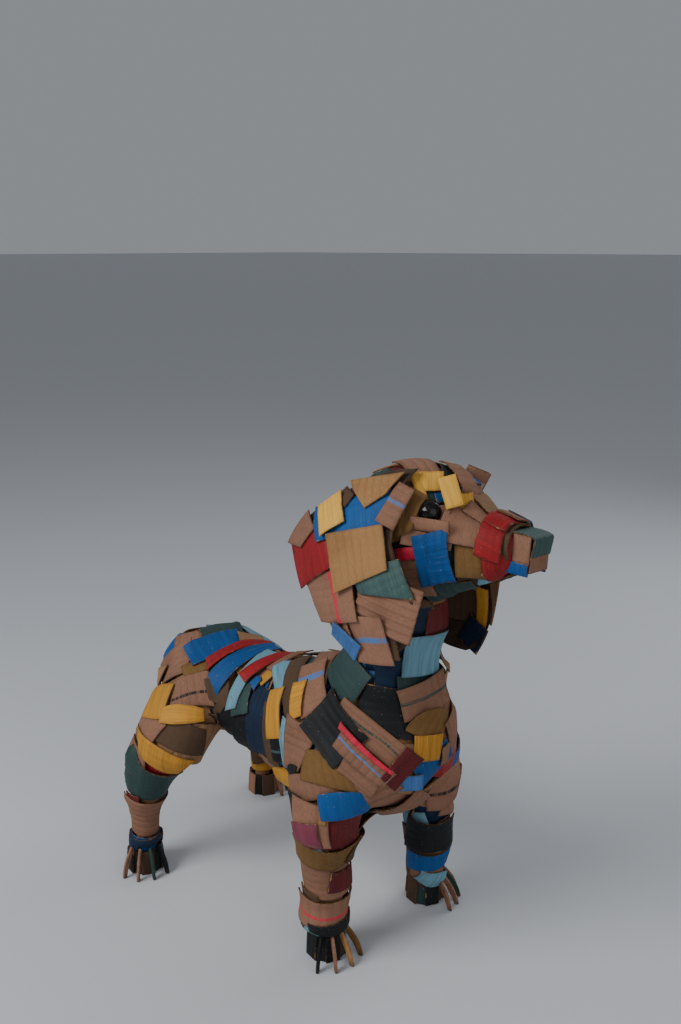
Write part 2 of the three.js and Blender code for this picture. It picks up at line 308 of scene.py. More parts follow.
class Flap:
    """One face of an ear as a smooth field y(x, z) that also carries on past the ear's edge."""

    POWERS = [(i, j) for i in range(4) for j in range(4 - i)]
    PROBE = 4  # between the rays that find the face
    BESIDE = 300  # where the rays to an outer face start

    def __init__(self, node, side, outer):
        corners, faces = cad_arrays(node)
        tree = BVHTree.FromPolygons(corners, faces)
        self.facing = side if outer else -side
        low = Vector([min(c[k] for c in corners) for k in range(3)])
        high = Vector([max(c[k] for c in corners) for k in range(3)])
        self.middle = (low + high) / 2
        self.reach = (high - low) / 2
        start_y = side * self.BESIDE if outer else 0
        rows, values = [], []
        for x in np.arange(low.x + self.PROBE / 2, high.x, self.PROBE):
            for z in np.arange(low.z + self.PROBE / 2, high.z, self.PROBE):
                hit = tree.ray_cast(Vector((x, start_y, z)), Vector((0, -self.facing, 0)))[0]
                if hit:
                    rows.append(self.terms(x, z))
                    values.append(hit.y)
        self.weights = np.linalg.lstsq(np.array(rows), np.array(values), rcond=None)[0]

    def terms(self, x, z):
        s = (x - self.middle.x) / self.reach.x
        t = (z - self.middle.z) / self.reach.z
        return [s**i * t**j for i, j in self.POWERS]

    def y_at(self, x, z):
        return float(np.dot(self.terms(x, z), self.weights))

    def nearest(self, point):
        x, z = point[0], point[2]
        y = self.y_at(x, z)
        slope_x = self.y_at(x + 0.5, z) - self.y_at(x - 0.5, z)
        slope_z = self.y_at(x, z + 0.5) - self.y_at(x, z - 0.5)
        normal = Vector((-slope_x, 1, -slope_z)).normalized() * self.facing
        place = Vector((x, y, z))
        lift = (Vector(point) - place).dot(normal)
        foot = Vector(point) - normal * lift
        return Vector((foot.x, self.y_at(foot.x, foot.z), foot.z)), normal


# ---- laying boards ----

LATTICE = 4.5  # between the points that a board's place is found from
RULING = 3.4  # between the points of a finished board without raised flutes
BENT_RULING = 4
FLUTE_RULINGS = 6  # points across one raised flute
EDGE_CRUSH = 0.6  # width of the crushed rim of a board
RIM_LOSS = 0.22  # what the rim loses of the board's thickness on top, and half as much below
BENT_RIM_LOSS = 0.2
CLEAR = 0.2  # between a board and those under it
ON_FLOOR = 0.05
CAP = 9.0  # how high above the skin a board may be pushed by those under it
LIMB_CAP = 7.6
CUT_SLACK = 0.04  # how far a cut corner strays, as a share of the board's sides
ACROSS_ABOVE = 0.62  # boards whose chance is above it have their flutes running across them
UV_STEP = (7.3, 3.1)  # from one board's pattern to the next one's
ENVELOPE_ROUNDS, ENVELOPE_PUSH = 6, 3.0
SETTLE_ROUNDS = 6
AROUND = [(-1, -1), (1, -1), (1, 1), (-1, 1)]
FACE, CUT = 0, 1


def walked(skin, place, up, width, height):
    """Points of the skin on a grid walked out from a place, with each one's local coordinates."""
    columns = max(4, 2 * round(width / LATTICE / 2))
    rows = max(4, 2 * round(height / LATTICE / 2))
    place, normal = skin.nearest(place)

    def flat(direction, normal):
        return (direction - normal * direction.dot(normal)).normalized()

    def trail(place, normal, heading, length, count):
        """Points one after the other along a heading, each with its normal and the heading there."""
        out = []
        for _ in range(count):
            place, normal = skin.nearest(place + heading * length)
            heading = flat(heading, normal)
            out.append((place, normal, heading))
        return out

    up = flat(Vector(up), normal)
    rise, reach = height / rows, width / columns
    spine = [(place, normal, up)]
    spine += trail(place, normal, up, rise, rows // 2)
    spine += [(p, n, -h) for p, n, h in trail(place, normal, -up, rise, rows // 2)]
    half = range(1, rows // 2 + 1)
    heights = [0] + [i * rise for i in half] + [-i * rise for i in half]
    local, points = [], []
    for b, (p, n, h) in zip(heights, spine):
        across = h.cross(n).normalized()
        local.append((0, b))
        points.append(p)
        for sign in (1, -1):
            for k, (q, _, _) in enumerate(trail(p, n, across * sign, reach, columns // 2), 1):
                local.append((sign * k * reach, b))
                points.append(q)
    return np.array(local), np.array(points)


def powers(a, b, degree_a, degree_b):
    """The products of powers of a and b that a sheet is made from."""
    return np.stack([a**i * b**j for i in range(degree_a + 1) for j in range(degree_b + 1)], axis=-1)


class Sheet:
    """A smooth stiff sheet through walked points, with a place and a normal for any local ones."""

    def __init__(self, local, points, width, height, bend):
        self.scale = np.array([width / 2, height / 2])
        self.degree = bend
        self.middle = points.mean(axis=0)
        terms = powers(*(local / self.scale).T, *bend)
        self.weights = np.linalg.lstsq(terms, points - self.middle, rcond=None)[0]

    def place(self, local):
        return powers(*(local / self.scale).T, *self.degree) @ self.weights + self.middle

    def normal(self, local):
        step = 0.4
        across = self.place(local + [step, 0]) - self.place(local - [step, 0])
        upward = self.place(local + [0, step]) - self.place(local - [0, step])
        normal = np.cross(across, upward)
        return normal / np.linalg.norm(normal, axis=1)[:, None]


class Pile:
    """The tops of all boards laid so far, which the next board rests on."""

    def __init__(self):
        self.tops = np.zeros((0, 3))

    def heights(self, places, normals, aside=3.4, far=9):
        """How high above each place the highest board near it lies, or minus infinity."""
        middle = places.mean(axis=0)
        span = np.linalg.norm(places - middle, axis=1).max() + far
        near = self.tops[np.linalg.norm(self.tops - middle, axis=1) < span]
        if not len(near):
            return np.full(len(places), -np.inf)
        gap = near[None] - places[:, None]
        up = np.einsum("nmk,nk->nm", gap, normals)
        offside = np.linalg.norm(gap - up[..., None] * normals[:, None], axis=2)
        up[(offside > aside) | (np.abs(up) > far)] = -np.inf
        return up.max(axis=1)

    def add(self, tops):
        self.tops = np.vstack([self.tops, tops])


def envelope(local, scale, needed):
    """Heights of a gently bent field that lies about on top of the needed heights."""
    a, b = (local / scale).T
    terms = np.stack([np.ones_like(a), a, b, a * a, a * b, b * b], axis=-1)
    push = np.ones(len(needed))
    for _ in range(ENVELOPE_ROUNDS):
        weights = np.linalg.lstsq(terms * push[:, None], needed * push, rcond=None)[0]
        push = np.where(needed > terms @ weights, ENVELOPE_PUSH, 1.0)
    return terms @ weights


def settled(start, needed, columns):
    """Heights that follow start but nowhere sink below what is needed, without a sharp step."""
    floor = needed.reshape(-1, columns)
    grid = np.maximum(start.reshape(-1, columns), floor)
    for _ in range(SETTLE_ROUNDS):
        wide = np.pad(grid, 1, mode="edge")
        around = (wide[:-2, 1:-1] + wide[2:, 1:-1] + wide[1:-1, :-2] + wide[1:-1, 2:]) / 4
        grid = np.maximum((grid + around) / 2, floor)
    return grid.ravel()


def ruled(length, spacing):
    """Even parameters from 0 to 1, with one more line close to each end."""
    count = max(3, round(length / spacing))
    inner = [i / count for i in range(1, count)]
    return np.array([0, EDGE_CRUSH / length] + inner + [1 - EDGE_CRUSH / length, 1])


class Boards:
    """One mesh of many separate cut boards."""

    def __init__(self, name):
        self.name = name
        self.corners = []
        self.faces = []
        self.kinds = []
        self.uvs = []
        self.values = {"tint": [], "streak": [], "finish": [], "place": []}
        self.count = 0
        self.cap = LIMB_CAP if "front" in name or "hind" in name else CAP

    def lay(self, skin, pile, place, up, width, height, tint, rng, paint=0.0, flute=0.0, along=False,
            streak=None, upright=False, shape=None, bend=(2, 2), curl=0.0, lift=None):
        """Lays one board on the skin, over what is already there.

        flute is the height of flutes that show, and along lays them from side to side. streak is
        the paint of a stray stroke, which upright turns. shape moves the corners, bend says how
        freely the board bends each way, curl lifts a corner, and lift says how high it starts.
        """
        board = sizes().board / MM
        pitch = sizes().flute / MM
        local, points = walked(skin, place, up, width, height)
        sheet = Sheet(local, points, width, height, bend)
        scale = sheet.scale
        bed = -sizes().bed / MM if lift is None else lift

        # Corners go round from low left, and the board is ruled between them.
        box = np.array(AROUND) * scale
        if shape is not None:
            box = box + np.array(shape)
        slack = CUT_SLACK * np.array([width, height])
        box = box + np.array([[rng.uniform(-1, 1), rng.uniform(-1, 1)] for _ in range(4)]) * slack
        fine = pitch / FLUTE_RULINGS
        across = ruled(width, fine if flute and not along else RULING)
        upward = ruled(height, fine if flute and along else RULING)
        s, t = np.meshgrid(across, upward)
        s, t = s.ravel()[:, None], t.ravel()[:, None]
        flat = (box[0] * (1 - s) + box[1] * s) * (1 - t) + (box[3] * (1 - s) + box[2] * s) * t
        surface, normal = sheet.place(flat), sheet.normal(flat)
        needed = np.clip(pile.heights(surface, normal) + CLEAR, bed, self.cap)
        height_here = settled(envelope(flat, scale, needed), needed, len(across))
        if curl:
            toward = np.array(AROUND[rng.randrange(4)])
            near = np.clip(((flat / scale) @ toward) / 2, 0, 1)
            height_here = height_here + curl * near**3
        if flute:
            height_here = height_here + flute * (1 + np.sin(flat[:, int(along)] * 2 * math.pi / pitch))
        rim = np.minimum(np.minimum(s, 1 - s)[:, 0] * width, np.minimum(t, 1 - t)[:, 0] * height)
        crushed = np.where(rim < EDGE_CRUSH / 2, board * RIM_LOSS, 0)
        under = surface + normal * (height_here + crushed * 0.5)[:, None]
        top = surface + normal * (height_here + board - crushed)[:, None]
        pile.add(top)
        chance = rng.random()
        printed = flat[:, ::-1] if along or not flute and chance > ACROSS_ABOVE else flat
        self.add(len(across), len(upward), top, under, printed, rim, tint, paint, streak,
                 chance, (s[:, 0], t[:, 0]), upright)

    def add(self, columns, rows, top, under, flat, rim, tint, paint, streak, chance, share, upright=False):
        """Adds one closed board from its top and under points, with what its finish needs to know."""
        base, count = len(self.corners), columns * rows
        self.corners += [tuple(p) for p in top] + [tuple(p) for p in under]
        shift = np.array(UV_STEP) * self.count
        board_uv = (flat + shift) * MM
        self.count += 1

        def at(i, j):
            return j * columns + i

        for j in range(rows - 1):
            for i in range(columns - 1):
                a, b, c, d = at(i, j), at(i + 1, j), at(i + 1, j + 1), at(i, j + 1)
                self.faces.append((base + a, base + b, base + c, base + d))
                self.uvs += [tuple(board_uv[k]) for k in (a, b, c, d)]
                self.faces.append((base + count + d, base + count + c, base + count + b, base + count + a))
                self.uvs += [tuple(board_uv[k]) for k in (d, c, b, a)]
                self.kinds += [FACE, FACE]
        edge = [at(i, 0) for i in range(columns)] + [at(columns - 1, j) for j in range(1, rows)]
        edge += [at(i, rows - 1) for i in range(columns - 2, -1, -1)]
        edge += [at(0, j) for j in range(rows - 2, 0, -1)]
        along = 0.0
        for a, b in zip(edge, edge[1:] + edge[:1]):
            step = float(np.linalg.norm(top[b] - top[a])) * MM
            self.faces.append((base + count + a, base + count + b, base + b, base + a))
            self.uvs += [(along, 0), (along + step, 0), (along + step, 1), (along, 1)]
            self.kinds.append(CUT)
            along += step
        for _ in range(2):
            self.values["tint"] += [(*tint, 1.0)] * count
            self.values["streak"] += [(*(streak or (0, 0, 0)), 1.0 if streak else 0.0)] * count
            self.values["finish"] += [(paint, chance, float(upright))] * count
            self.values["place"] += [(r * MM, u, v) for r, u, v in zip(rim, *share)]

    def ribbon(self, path, across, width, tint, paint=0.0, streak=None, board=1.7, chance=0.3, warp=0.0):
        """A board bent along a path of points, its width along across, its top on the path's left."""
        path = [Vector(p) for p in path]
        across = Vector(across).normalized()
        lengths = [0.0]
        for a, b in zip(path, path[1:]):
            lengths.append(lengths[-1] + (b - a).length)
        offsets = (ruled(width, BENT_RULING) - 0.5) * width
        columns = len(offsets)
        top, under, flat, rim, s, t = [], [], [], [], [], []
        for i, (place, length) in enumerate(zip(path, lengths)):
            ahead = (path[min(i + 1, len(path) - 1)] - path[max(i - 1, 0)]).normalized()
            normal = across.cross(ahead).normalized()
            for offset in offsets:
                bow = warp * (1 - (2 * offset / width) ** 2)
                point = place + across * offset + normal * bow
                from_rim = min(width / 2 - abs(offset), length, lengths[-1] - length)
                crushed = board * BENT_RIM_LOSS if from_rim < EDGE_CRUSH / 2 else 0
                top.append(point + normal * (board - crushed))
                under.append(point + normal * crushed * 0.5)
                flat.append((offset, length))
                rim.append(from_rim)
                s.append(offset / width + 0.5)
                t.append(length / lengths[-1])
        self.add(columns, len(path), np.array(top), np.array(under), np.array(flat), np.array(rim),
                 tint, paint, streak, chance, (np.array(s), np.array(t)))

    def panel(self, middle, across, up, width, height, tint, bend=0.0, **options):
        """A nearly flat board with its middle, its two directions and its sizes."""
        up = Vector(up).normalized()
        across = Vector(across).normalized()
        normal = across.cross(up).normalized()
        path = []
        for t in ruled(height, BENT_RULING):
            path.append(Vector(middle) + up * (t - 0.5) * height + normal * bend * (1 - (2 * t - 1) ** 2))
        self.ribbon(path, across, width, tint, **options)

    def finish(self, slot, *nodes):
        """Makes the mesh object, riding on the figure, in place of the given nodes."""
        corners = [(x, y, max(z, ON_FLOOR)) for x, y, z in self.corners]
        mesh = placed_mesh(self.name, corners, self.faces)
        mesh.polygons.foreach_set("material_index", self.kinds)
        mesh.polygons.foreach_set("use_smooth", [kind == FACE for kind in self.kinds])
        layer = mesh.uv_layers.new(name="board")
        layer.data.foreach_set("uv", np.array(self.uvs, float).ravel())
        for key, rows in self.values.items():
            colour = key in ("tint", "streak")
            data = mesh.attributes.new(key, "FLOAT_COLOR" if colour else "FLOAT_VECTOR", "POINT")
            data.data.foreach_set("color" if colour else "vector", np.array(rows, float).ravel())
        mesh.materials.append(finish_of("face"))
        mesh.materials.append(finish_of("cut"))
        dressed(linked(self.name, mesh), slot, *nodes)


def dressed(obj, slot, *nodes):
    """Hangs a piece on the root body and hides the nodes of the solids that it stands for; the slot is not
    used.
    """
    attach(obj, "root")
    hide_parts(*nodes)


# ---- finishes ----

UNDER_PAINT = (*srgb("9a7450"), 1)
# The dark of the flute hollows on a cut side is painted shade.
CUT_DARK, CUT_PALE, CUT_HOLLOW_SHADE = (*srgb("5d452f"), 1), (*srgb("a17c57"), 1), (*srgb("2c1f16"), 1)
# Painted shade: the inner form's dark browns stand for the shade in the gaps between the boards.
INNER_SHADE_DARK, INNER_SHADE_PALE = (*srgb("221812"), 1), (*srgb("493524"), 1)
EYE_BLACK, EYE_BROWN = (0.004, 0.004, 0.005, 1), (0.012, 0.009, 0.007, 1)
GRIME = (0.03, 0.022, 0.018, 1)
# Painted shade at the foot of each claw, where it stands on the floor.
CLAW_FOOT_SHADE = (0.05, 0.035, 0.025, 1)

# The board of each claw, from the first one on the figure's right.
CLAW_COLOURS = {
    "front_right": ("black", "rose", "tan", "ochre"),
    "front_left": ("rose", "rose", "green", "rose"),
    "hind_right": ("rose", "rose", "green", "black"),
    "hind_left": ("rose", "umber", "rose", "rose"),
}


class Finish:
    """A material whose nodes are added one after the other."""

    def __init__(self, name):
        self.material = bpy.data.materials.new(name)
        self.material.use_nodes = True
        self.tree = self.material.node_tree
        self.tree.nodes.clear()
        self.output = self.tree.nodes.new("ShaderNodeOutputMaterial")
        self.shader = self.tree.nodes.new("ShaderNodeBsdfPrincipled")
        self.tree.links.new(self.shader.outputs["BSDF"], self.output.inputs["Surface"])

    def feed(self, socket, value):
        if isinstance(value, bpy.types.NodeSocket):
            self.tree.links.new(value, socket)
        else:
            socket.default_value = value

    def add(self, kind, output=0, inputs=(), **settings):
        node = self.tree.nodes.new(kind)
        for key, value in settings.items():
            setattr(node, key, value)
        for key, value in dict(inputs).items():
            self.feed(node.inputs[key], value)
        return node.outputs[output]

    def math(self, operation, a, b=0.0, clamp=False):
        return self.add("ShaderNodeMath", inputs={0: a, 1: b}, operation=operation, use_clamp=clamp)

    def scaled(self, value, factor, plus):
        """value times factor, plus a number."""
        return self.add("ShaderNodeMath", inputs={0: value, 1: factor, 2: plus}, operation="MULTIPLY_ADD")

    def mix(self, share, a, b, blend="MIX"):
        return self.add("ShaderNodeMix", 2, {0: share, 6: a, 7: b}, data_type="RGBA", blend_type=blend)

    def dimmed(self, colour, red, green, blue):
        """The colour with each of its parts multiplied."""
        return self.mix(1.0, colour, (red, green, blue, 1), "MULTIPLY")

    def span(self, value, low, high, to_low=0.0, to_high=1.0):
        """value taken from low..high to to_low..to_high, smoothly and no further."""
        return self.add(
            "ShaderNodeMapRange",
            inputs={"Value": value, "From Min": low, "From Max": high, "To Min": to_low, "To Max": to_high},
            interpolation_type="SMOOTHSTEP",
        )

    def noise(self, vector, scale, detail=3.0, rough=0.55):
        return self.add(
            "ShaderNodeTexNoise",
            inputs={"Vector": vector, "Scale": scale, "Detail": detail, "Roughness": rough},
        )

    def stretch(self, vector, amounts):
        return self.add("ShaderNodeVectorMath", inputs={0: vector, 1: amounts}, operation="MULTIPLY")

    def attribute(self, name, output="Vector"):
        return self.add("ShaderNodeAttribute", output, attribute_name=name)

    def parts(self, vector):
        node = self.tree.nodes.new("ShaderNodeSeparateXYZ")
        self.feed(node.inputs[0], vector)
        return node.outputs

    def surface(self, **sockets):
        for key, value in sockets.items():
            self.feed(self.shader.inputs[key.replace("_", " ")], value)
        return self.material

    def relief(self, *layers):
        """Bumps one over the other, each given by its depth in metres and its pattern of heights."""
        normal = None
        for depth, height in layers:
            inputs = {"Height": height, "Distance": depth, "Strength": 1.0}
            if normal:
                inputs["Normal"] = normal
            normal = self.add("ShaderNodeBump", inputs=inputs)
        return normal


def board_face():
    """Kraft board with flutes showing through, bare or brushed with paint that wears at the rim."""
    f = Finish("board_face")
    uv = f.add("ShaderNodeUVMap", uv_map="board")
    obj = f.add("ShaderNodeTexCoord", "Object")
    tint = f.attribute("tint", "Color")
    paint, chance, upright = f.parts(f.attribute("finish"))
    rim, across, upward = f.parts(f.attribute("place"))
    pulp = f.noise(f.stretch(uv, (2600, 300, 1)), 1.0, 4)
    blotch = f.noise(obj, 34, 3)
    wide = f.noise(obj, 9, 2)
    grit = f.noise(obj, 900, 2)
    flute = f.math("SINE", f.math("MULTIPLY", f.parts(uv)[0], 2 * math.pi / sizes().flute))
    show = f.span(f.noise(f.stretch(uv, (30, 12, 1)), 1.0, 2), 0.35, 0.7)
    bare = f.mix(f.span(pulp, 0.3, 0.75), f.dimmed(tint, 0.70, 0.68, 0.66), tint)
    bare = f.mix(f.span(blotch, 0.45, 0.75, 0, 0.45), bare, f.dimmed(bare, 0.62, 0.56, 0.5))
    lines = f.math("MULTIPLY", f.span(flute, -1.0, -0.2, 0.24, 0.0), show)
    bare = f.mix(lines, bare, (0.05, 0.03, 0.02, 1))
    pale = f.dimmed(tint, 1.22, 1.2, 1.16)
    bare = f.mix(f.span(wide, 0.5, 0.72, 0, 0.5), bare, pale)

    # Brush strokes run across the flutes or along them, a board at a time.
    swapped = f.add("ShaderNodeCombineXYZ", inputs={0: f.parts(uv)[1], 1: f.parts(uv)[0], 2: 0.0})
    way = f.math("GREATER_THAN", chance, 0.5)
    brushed = f.add("ShaderNodeMix", 1, {0: way, 4: uv, 5: swapped}, data_type="VECTOR")
    bristle = f.noise(f.stretch(brushed, (1500, 26, 1)), 1.0, 3, 0.7)
    sweep = f.noise(f.stretch(brushed, (240, 16, 1)), 1.0, 2)
    coat = f.mix(f.span(bristle, 0.3, 0.7), f.dimmed(tint, 0.66, 0.68, 0.7), tint)
    coat = f.mix(f.span(sweep, 0.5, 0.72, 0, 0.5), coat, f.dimmed(tint, 1.35, 1.3, 1.28))
    coat = f.mix(f.span(sweep, 0.42, 0.28, 0, 0.45), coat, f.dimmed(tint, 0.45, 0.45, 0.5))
    coat = f.mix(f.span(grit, 0.70, 0.78, 0, 0.35), coat, (0.75, 0.76, 0.74, 1))
    ragged = f.scaled(f.noise(obj, 160, 3), 0.005, -0.0029)
    worn = f.span(f.math("SUBTRACT", rim, ragged), 0.0, 0.0003, 1.0, 0.0)
    dry = f.span(bristle, 0.66, 0.74, 0, 0.5)
    cover = f.math("MULTIPLY", paint, f.math("SUBTRACT", 1.0, f.math("MAXIMUM", worn, dry)), True)
    colour = f.mix(cover, f.mix(paint, bare, UNDER_PAINT), coat)

    # A stray stroke of another paint across the board.
    wander = f.scaled(f.noise(f.stretch(uv, (22, 22, 1)), 1.0, 1), 0.35, -0.175)
    line = f.scaled(chance, 0.3, 0.35)
    share = f.add("ShaderNodeMix", 0, {0: upright, 2: upward, 3: across}, data_type="FLOAT")
    off = f.math("ABSOLUTE", f.math("SUBTRACT", f.math("ADD", share, wander), line))
    stroke = f.math("MULTIPLY", f.span(off, 0.035, 0.06, 1.0, 0.0), f.attribute("streak", "Alpha"))
    stroke = f.math("MULTIPLY", stroke, f.span(bristle, 0.42, 0.52, 0.25, 1.0))
    colour = f.mix(stroke, colour, f.attribute("streak", "Color"))
    # Dirt darkens each board in patches near its rim.
    dirt_and_shade = f.math("MULTIPLY", f.span(rim, 0.0, 0.0022, 0.30, 0.0), f.span(blotch, 0.35, 0.6))
    colour = f.mix(dirt_and_shade, colour, GRIME)

    ink = f.math("MAXIMUM", cover, stroke)
    rough = f.math("ADD", f.span(ink, 0.0, 1.0, 0.82, 0.58), f.span(bristle, 0.3, 0.7, 0.0, 0.12))
    height = f.math("MULTIPLY", flute, f.scaled(show, 0.7, 0.3))
    normal = f.relief((0.00016, height), (0.00010, pulp), (0.00014, f.math("MULTIPLY", bristle, ink)))
    return f.surface(Base_Color=colour, Roughness=rough, Normal=normal, Specular_IOR_Level=0.28)


def board_cut():
    """The cut side of a board: two liners with the flute's wave between them, and painted shade in the
    hollows between.
    """
    f = Finish("board_cut")
    along, across, _ = f.parts(f.add("ShaderNodeUVMap", uv_map="board"))
    obj = f.add("ShaderNodeTexCoord", "Object")
    tint = f.attribute("tint", "Color")
    paint = f.parts(f.attribute("finish"))[0]
    wave = f.scaled(f.math("SINE", f.math("MULTIPLY", along, 2 * math.pi / sizes().flute)), 0.3, 0.5)
    on_wave = f.span(f.math("ABSOLUTE", f.math("SUBTRACT", across, wave)), 0.08, 0.2, 1.0, 0.0)
    on_liner = f.span(f.math("ABSOLUTE", f.math("SUBTRACT", across, 0.5)), 0.26, 0.34)
    solid = f.math("MAXIMUM", on_wave, on_liner)
    kraft = f.mix(f.span(f.noise(obj, 420, 3), 0.3, 0.7), CUT_DARK, CUT_PALE)
    kraft = f.mix(f.math("MULTIPLY", paint, 0.3), kraft, tint)
    # Painted shade fills the open flute hollows that the liners and the wave leave between them.
    colour = f.mix(solid, CUT_HOLLOW_SHADE, kraft)
    normal = f.relief((0.0002, solid), (0.00008, f.noise(obj, 1500, 2)))
    return f.surface(Base_Color=colour, Roughness=0.95, Normal=normal, Specular_IOR_Level=0.05)


def inner_board():
    """The board underneath, seen only between the pieces, coloured dark brown as painted shade for those
    gaps.
    """
    f = Finish("inner_board")
    obj = f.add("ShaderNodeTexCoord", "Object")
    colour = f.mix(f.span(f.noise(obj, 60, 4), 0.3, 0.7), INNER_SHADE_DARK, INNER_SHADE_PALE)
    return f.surface(Base_Color=colour, Roughness=0.9, Normal=f.relief((0.0004, f.noise(obj, 300, 4))))


def eye_gloss():
    """Polished black, with the faintest brown in it."""
    f = Finish("eye_gloss")
    obj = f.add("ShaderNodeTexCoord", "Object")
    colour = f.mix(f.span(f.noise(obj, 200, 2), 0.3, 0.7), EYE_BLACK, EYE_BROWN)
    normal = f.relief((0.0006, f.noise(obj, 260, 2)))
    return f.surface(Base_Color=colour, Roughness=0.09, Specular_IOR_Level=0.28, Normal=normal)


def claw_finish(paw):
    """Board on edge for one paw's claws, each claw in its own colour."""
    f = Finish(f"claw_{paw}")
    ramp = f.tree.nodes.new("ShaderNodeValToRGB")
    ramp.color_ramp.interpolation = "CONSTANT"
    names = CLAW_COLOURS[paw]
    while len(ramp.color_ramp.elements) < len(names):
        ramp.color_ramp.elements.new(0.5)
    for i, name in enumerate(names):
        ramp.color_ramp.elements[i].position = i / len(names)
        ramp.color_ramp.elements[i].color = (*tint_of(name), 1)
    share = f.scaled(f.attribute("claw", "Fac"), 1 / len(names), 0.5 / len(names))
    f.tree.links.new(share, ramp.inputs[0])
    obj = f.add("ShaderNodeTexCoord", "Object")
    pulp = f.noise(f.stretch(obj, (500, 500, 160)), 1.0, 4)
    board = ramp.outputs[0]
    shade = f.mix(f.span(pulp, 0.3, 0.72), f.dimmed(board, 0.6, 0.58, 0.55), board)
    up = f.parts(obj)[2]
    # Painted shade: each claw darkens towards the floor it stands on.
    dirt_and_shade = f.span(f.math("ADD", up, f.math("MULTIPLY", f.noise(obj, 150, 3), 0.006)), 0.003, 0.009, 0.6, 0.0)
    colour = f.mix(dirt_and_shade, shade, CLAW_FOOT_SHADE)
    normal = f.relief((0.00025, pulp))
    return f.surface(Base_Color=colour, Roughness=0.78, Normal=normal, Specular_IOR_Level=0.3)


MAKERS = {"face": board_face, "cut": board_cut, "inner": inner_board, "eye": eye_gloss}
MADE = {}


def finish_of(kind):
    """The finish of that name, made once."""
    if kind not in MADE:
        MADE[kind] = MAKERS[kind]() if kind in MAKERS else claw_finish(kind)
    return MADE[kind]


# ---- placing boards ----

MOUTH_BACK = 219  # x of the inner form's front end
MUZZLE_BOARDS = 208  # x past which only boards of the table are laid
PAW_TOP = 21
# The lines that boards are placed round. A station on one is an x for the trunk and head, and a z
# for the others.
LINES = {
    "trunk": [(-170, 0, 166), (170, 0, 176)],
    "chest": [(104, 0, 120), (108, 0, 200), (128, 0, 260), (139, 0, 330)],
    "head": [(90, 0, 366), (250, 0, 362)],
    **LEG_LINES,
}
LENGTHWISE = ("trunk", "head")


def on_line(zone, station):
    """The point of a zone's middle line at an x for the trunk and head, or at a z for the others."""
    line = LINES[zone]
    axis = 0 if zone in LENGTHWISE else 2
    pairs = list(zip(line, line[1:]))
    for start, end in pairs:
        share = (station - start[axis]) / (end[axis] - start[axis])
        if 0 <= share <= 1 or (start, end) == pairs[-1]:
            return Vector(start).lerp(Vector(end), share)


def spot(skin, zone, station, angle):
    """The place on the skin at that angle round a zone's line, and the way that counts as up there.

    The angle is from the top for the trunk and head and from the front for the others, and it
    grows to the figure's right.
    """
    start = on_line(zone, station)
    turn = math.radians(angle)
    if zone in LENGTHWISE:
        heading, up = Vector((0, -math.sin(turn), math.cos(turn))), Vector((1, 0, 0))
    else:
        heading, up = Vector((math.cos(turn), -math.sin(turn), 0)), Vector((0, 0, 1))
    if zone == "head":
        start = with_head_roll(start)
        heading = head_way(*heading)
    place, normal = skin.along(start, heading)
    if place is None:
        raise RuntimeError(f"no skin at {zone} {station} {angle}")
    return place, normal, up


def turned(up, normal, degrees):
    """up laid flat on the skin and turned leftward as seen from outside."""
    flat = (up - normal * up.dot(normal)).normalized()
    return Matrix.Rotation(math.radians(degrees), 3, normal) @ flat


# How far inside the solids' surface the skin lies, so that the finished pile of boards ends at it.
SUNK = {"trunk": 3.8, "tail": 1.0, "neck": 4.8, "head": 2.9}
SUNK_LIMB = 6.8
SUNK_SNOUT = 6.4
SNOUT_FROM = 200
SUNK_ROUNDS = 8
# A plug that opens the mouth: its two ends, and half its width and height at each.
MOUTH_PLUG = ((222, 0, 361), (246, 0, 360.5), (18.4, 16.5), (17.5, 16))


def eye_centre(side):
    return to_figure(middle(f"eye_{side}"))


class Bench:
    """The skin and the pile of boards, made once and shared by the operators."""

    made = None

    def __init__(self):
        sockets = [ball(eye_centre(side), EYE_RADIUS - 2, 8, 12) for side in ("left", "right")]
        shells = joined(cad_arrays("body"), tube(*MOUTH_PLUG), *sockets)
        self.skin = Skin(*self.sunk(*remeshed(*shells)))
        self.pile = Pile()
        self.rng = random.Random(sizes().seed)

    def sunk(self, corners, faces):
        """The shell moved inwards by its zones' depths, evened out where zones meet."""
        shell = bpy.data.meshes.new("shell")
        shell.from_pydata([Vector(c) for c in corners], [], faces)
        shell.update()
        depths = [SUNK.get(zone_of(v.co), SUNK_LIMB) for v in shell.vertices]
        for i, vertex in enumerate(shell.vertices):
            if with_head_level(vertex.co).x > SNOUT_FROM:
                depths[i] = SUNK_SNOUT
        beside = [[] for _ in depths]
        for edge in shell.edges:
            a, b = edge.vertices
            beside[a].append(b)
            beside[b].append(a)
        for _ in range(SUNK_ROUNDS):
            sums = [sum(depths[k] for k in near) for near in beside]
            depths = [(d + total) / (1 + len(near)) for d, total, near in zip(depths, sums, beside)]
        moved = [v.co - v.normal * d for v, d in zip(shell.vertices, depths)]
        bpy.data.meshes.remove(shell)
        return moved, faces

    @classmethod
    def get(cls):
        """The bench, made at the first call."""
        if cls.made is None:
            cls.made = cls()
        return cls.made


JUST_UNDER = 1.5
USUAL_THICKNESS = 40.0

# Heights and lengths where the parts of the figure meet.
HEAD_FROM, NECK_FROM, LEG_TOP, SHIN_TOP = 322, 232, 112, 60
NECK_BACK, FRONT_LEGS_FROM, TAIL_FROM, RUMP_BACK = 60, 20, -136, -140


def zone_of(point):
    """The part of the figure that a place on the skin belongs to."""
    x, y, z = point
    if z > HEAD_FROM:
        return "head"
    if z < LEG_TOP and x > RUMP_BACK or z < SHIN_TOP:
        return ("front" if x > FRONT_LEGS_FROM else "hind") + ("_right" if y < 0 else "_left")
    if z > NECK_FROM and x > NECK_BACK:
        return "neck"
    return "tail" if x < TAIL_FROM else "trunk"


def thickness_at(skin, place, normal):
    """How thick the figure is under a place."""
    far = skin.tree.ray_cast(place - normal * JUST_UNDER, -normal)[0]
    return (far - place).length if far else USUAL_THICKNESS


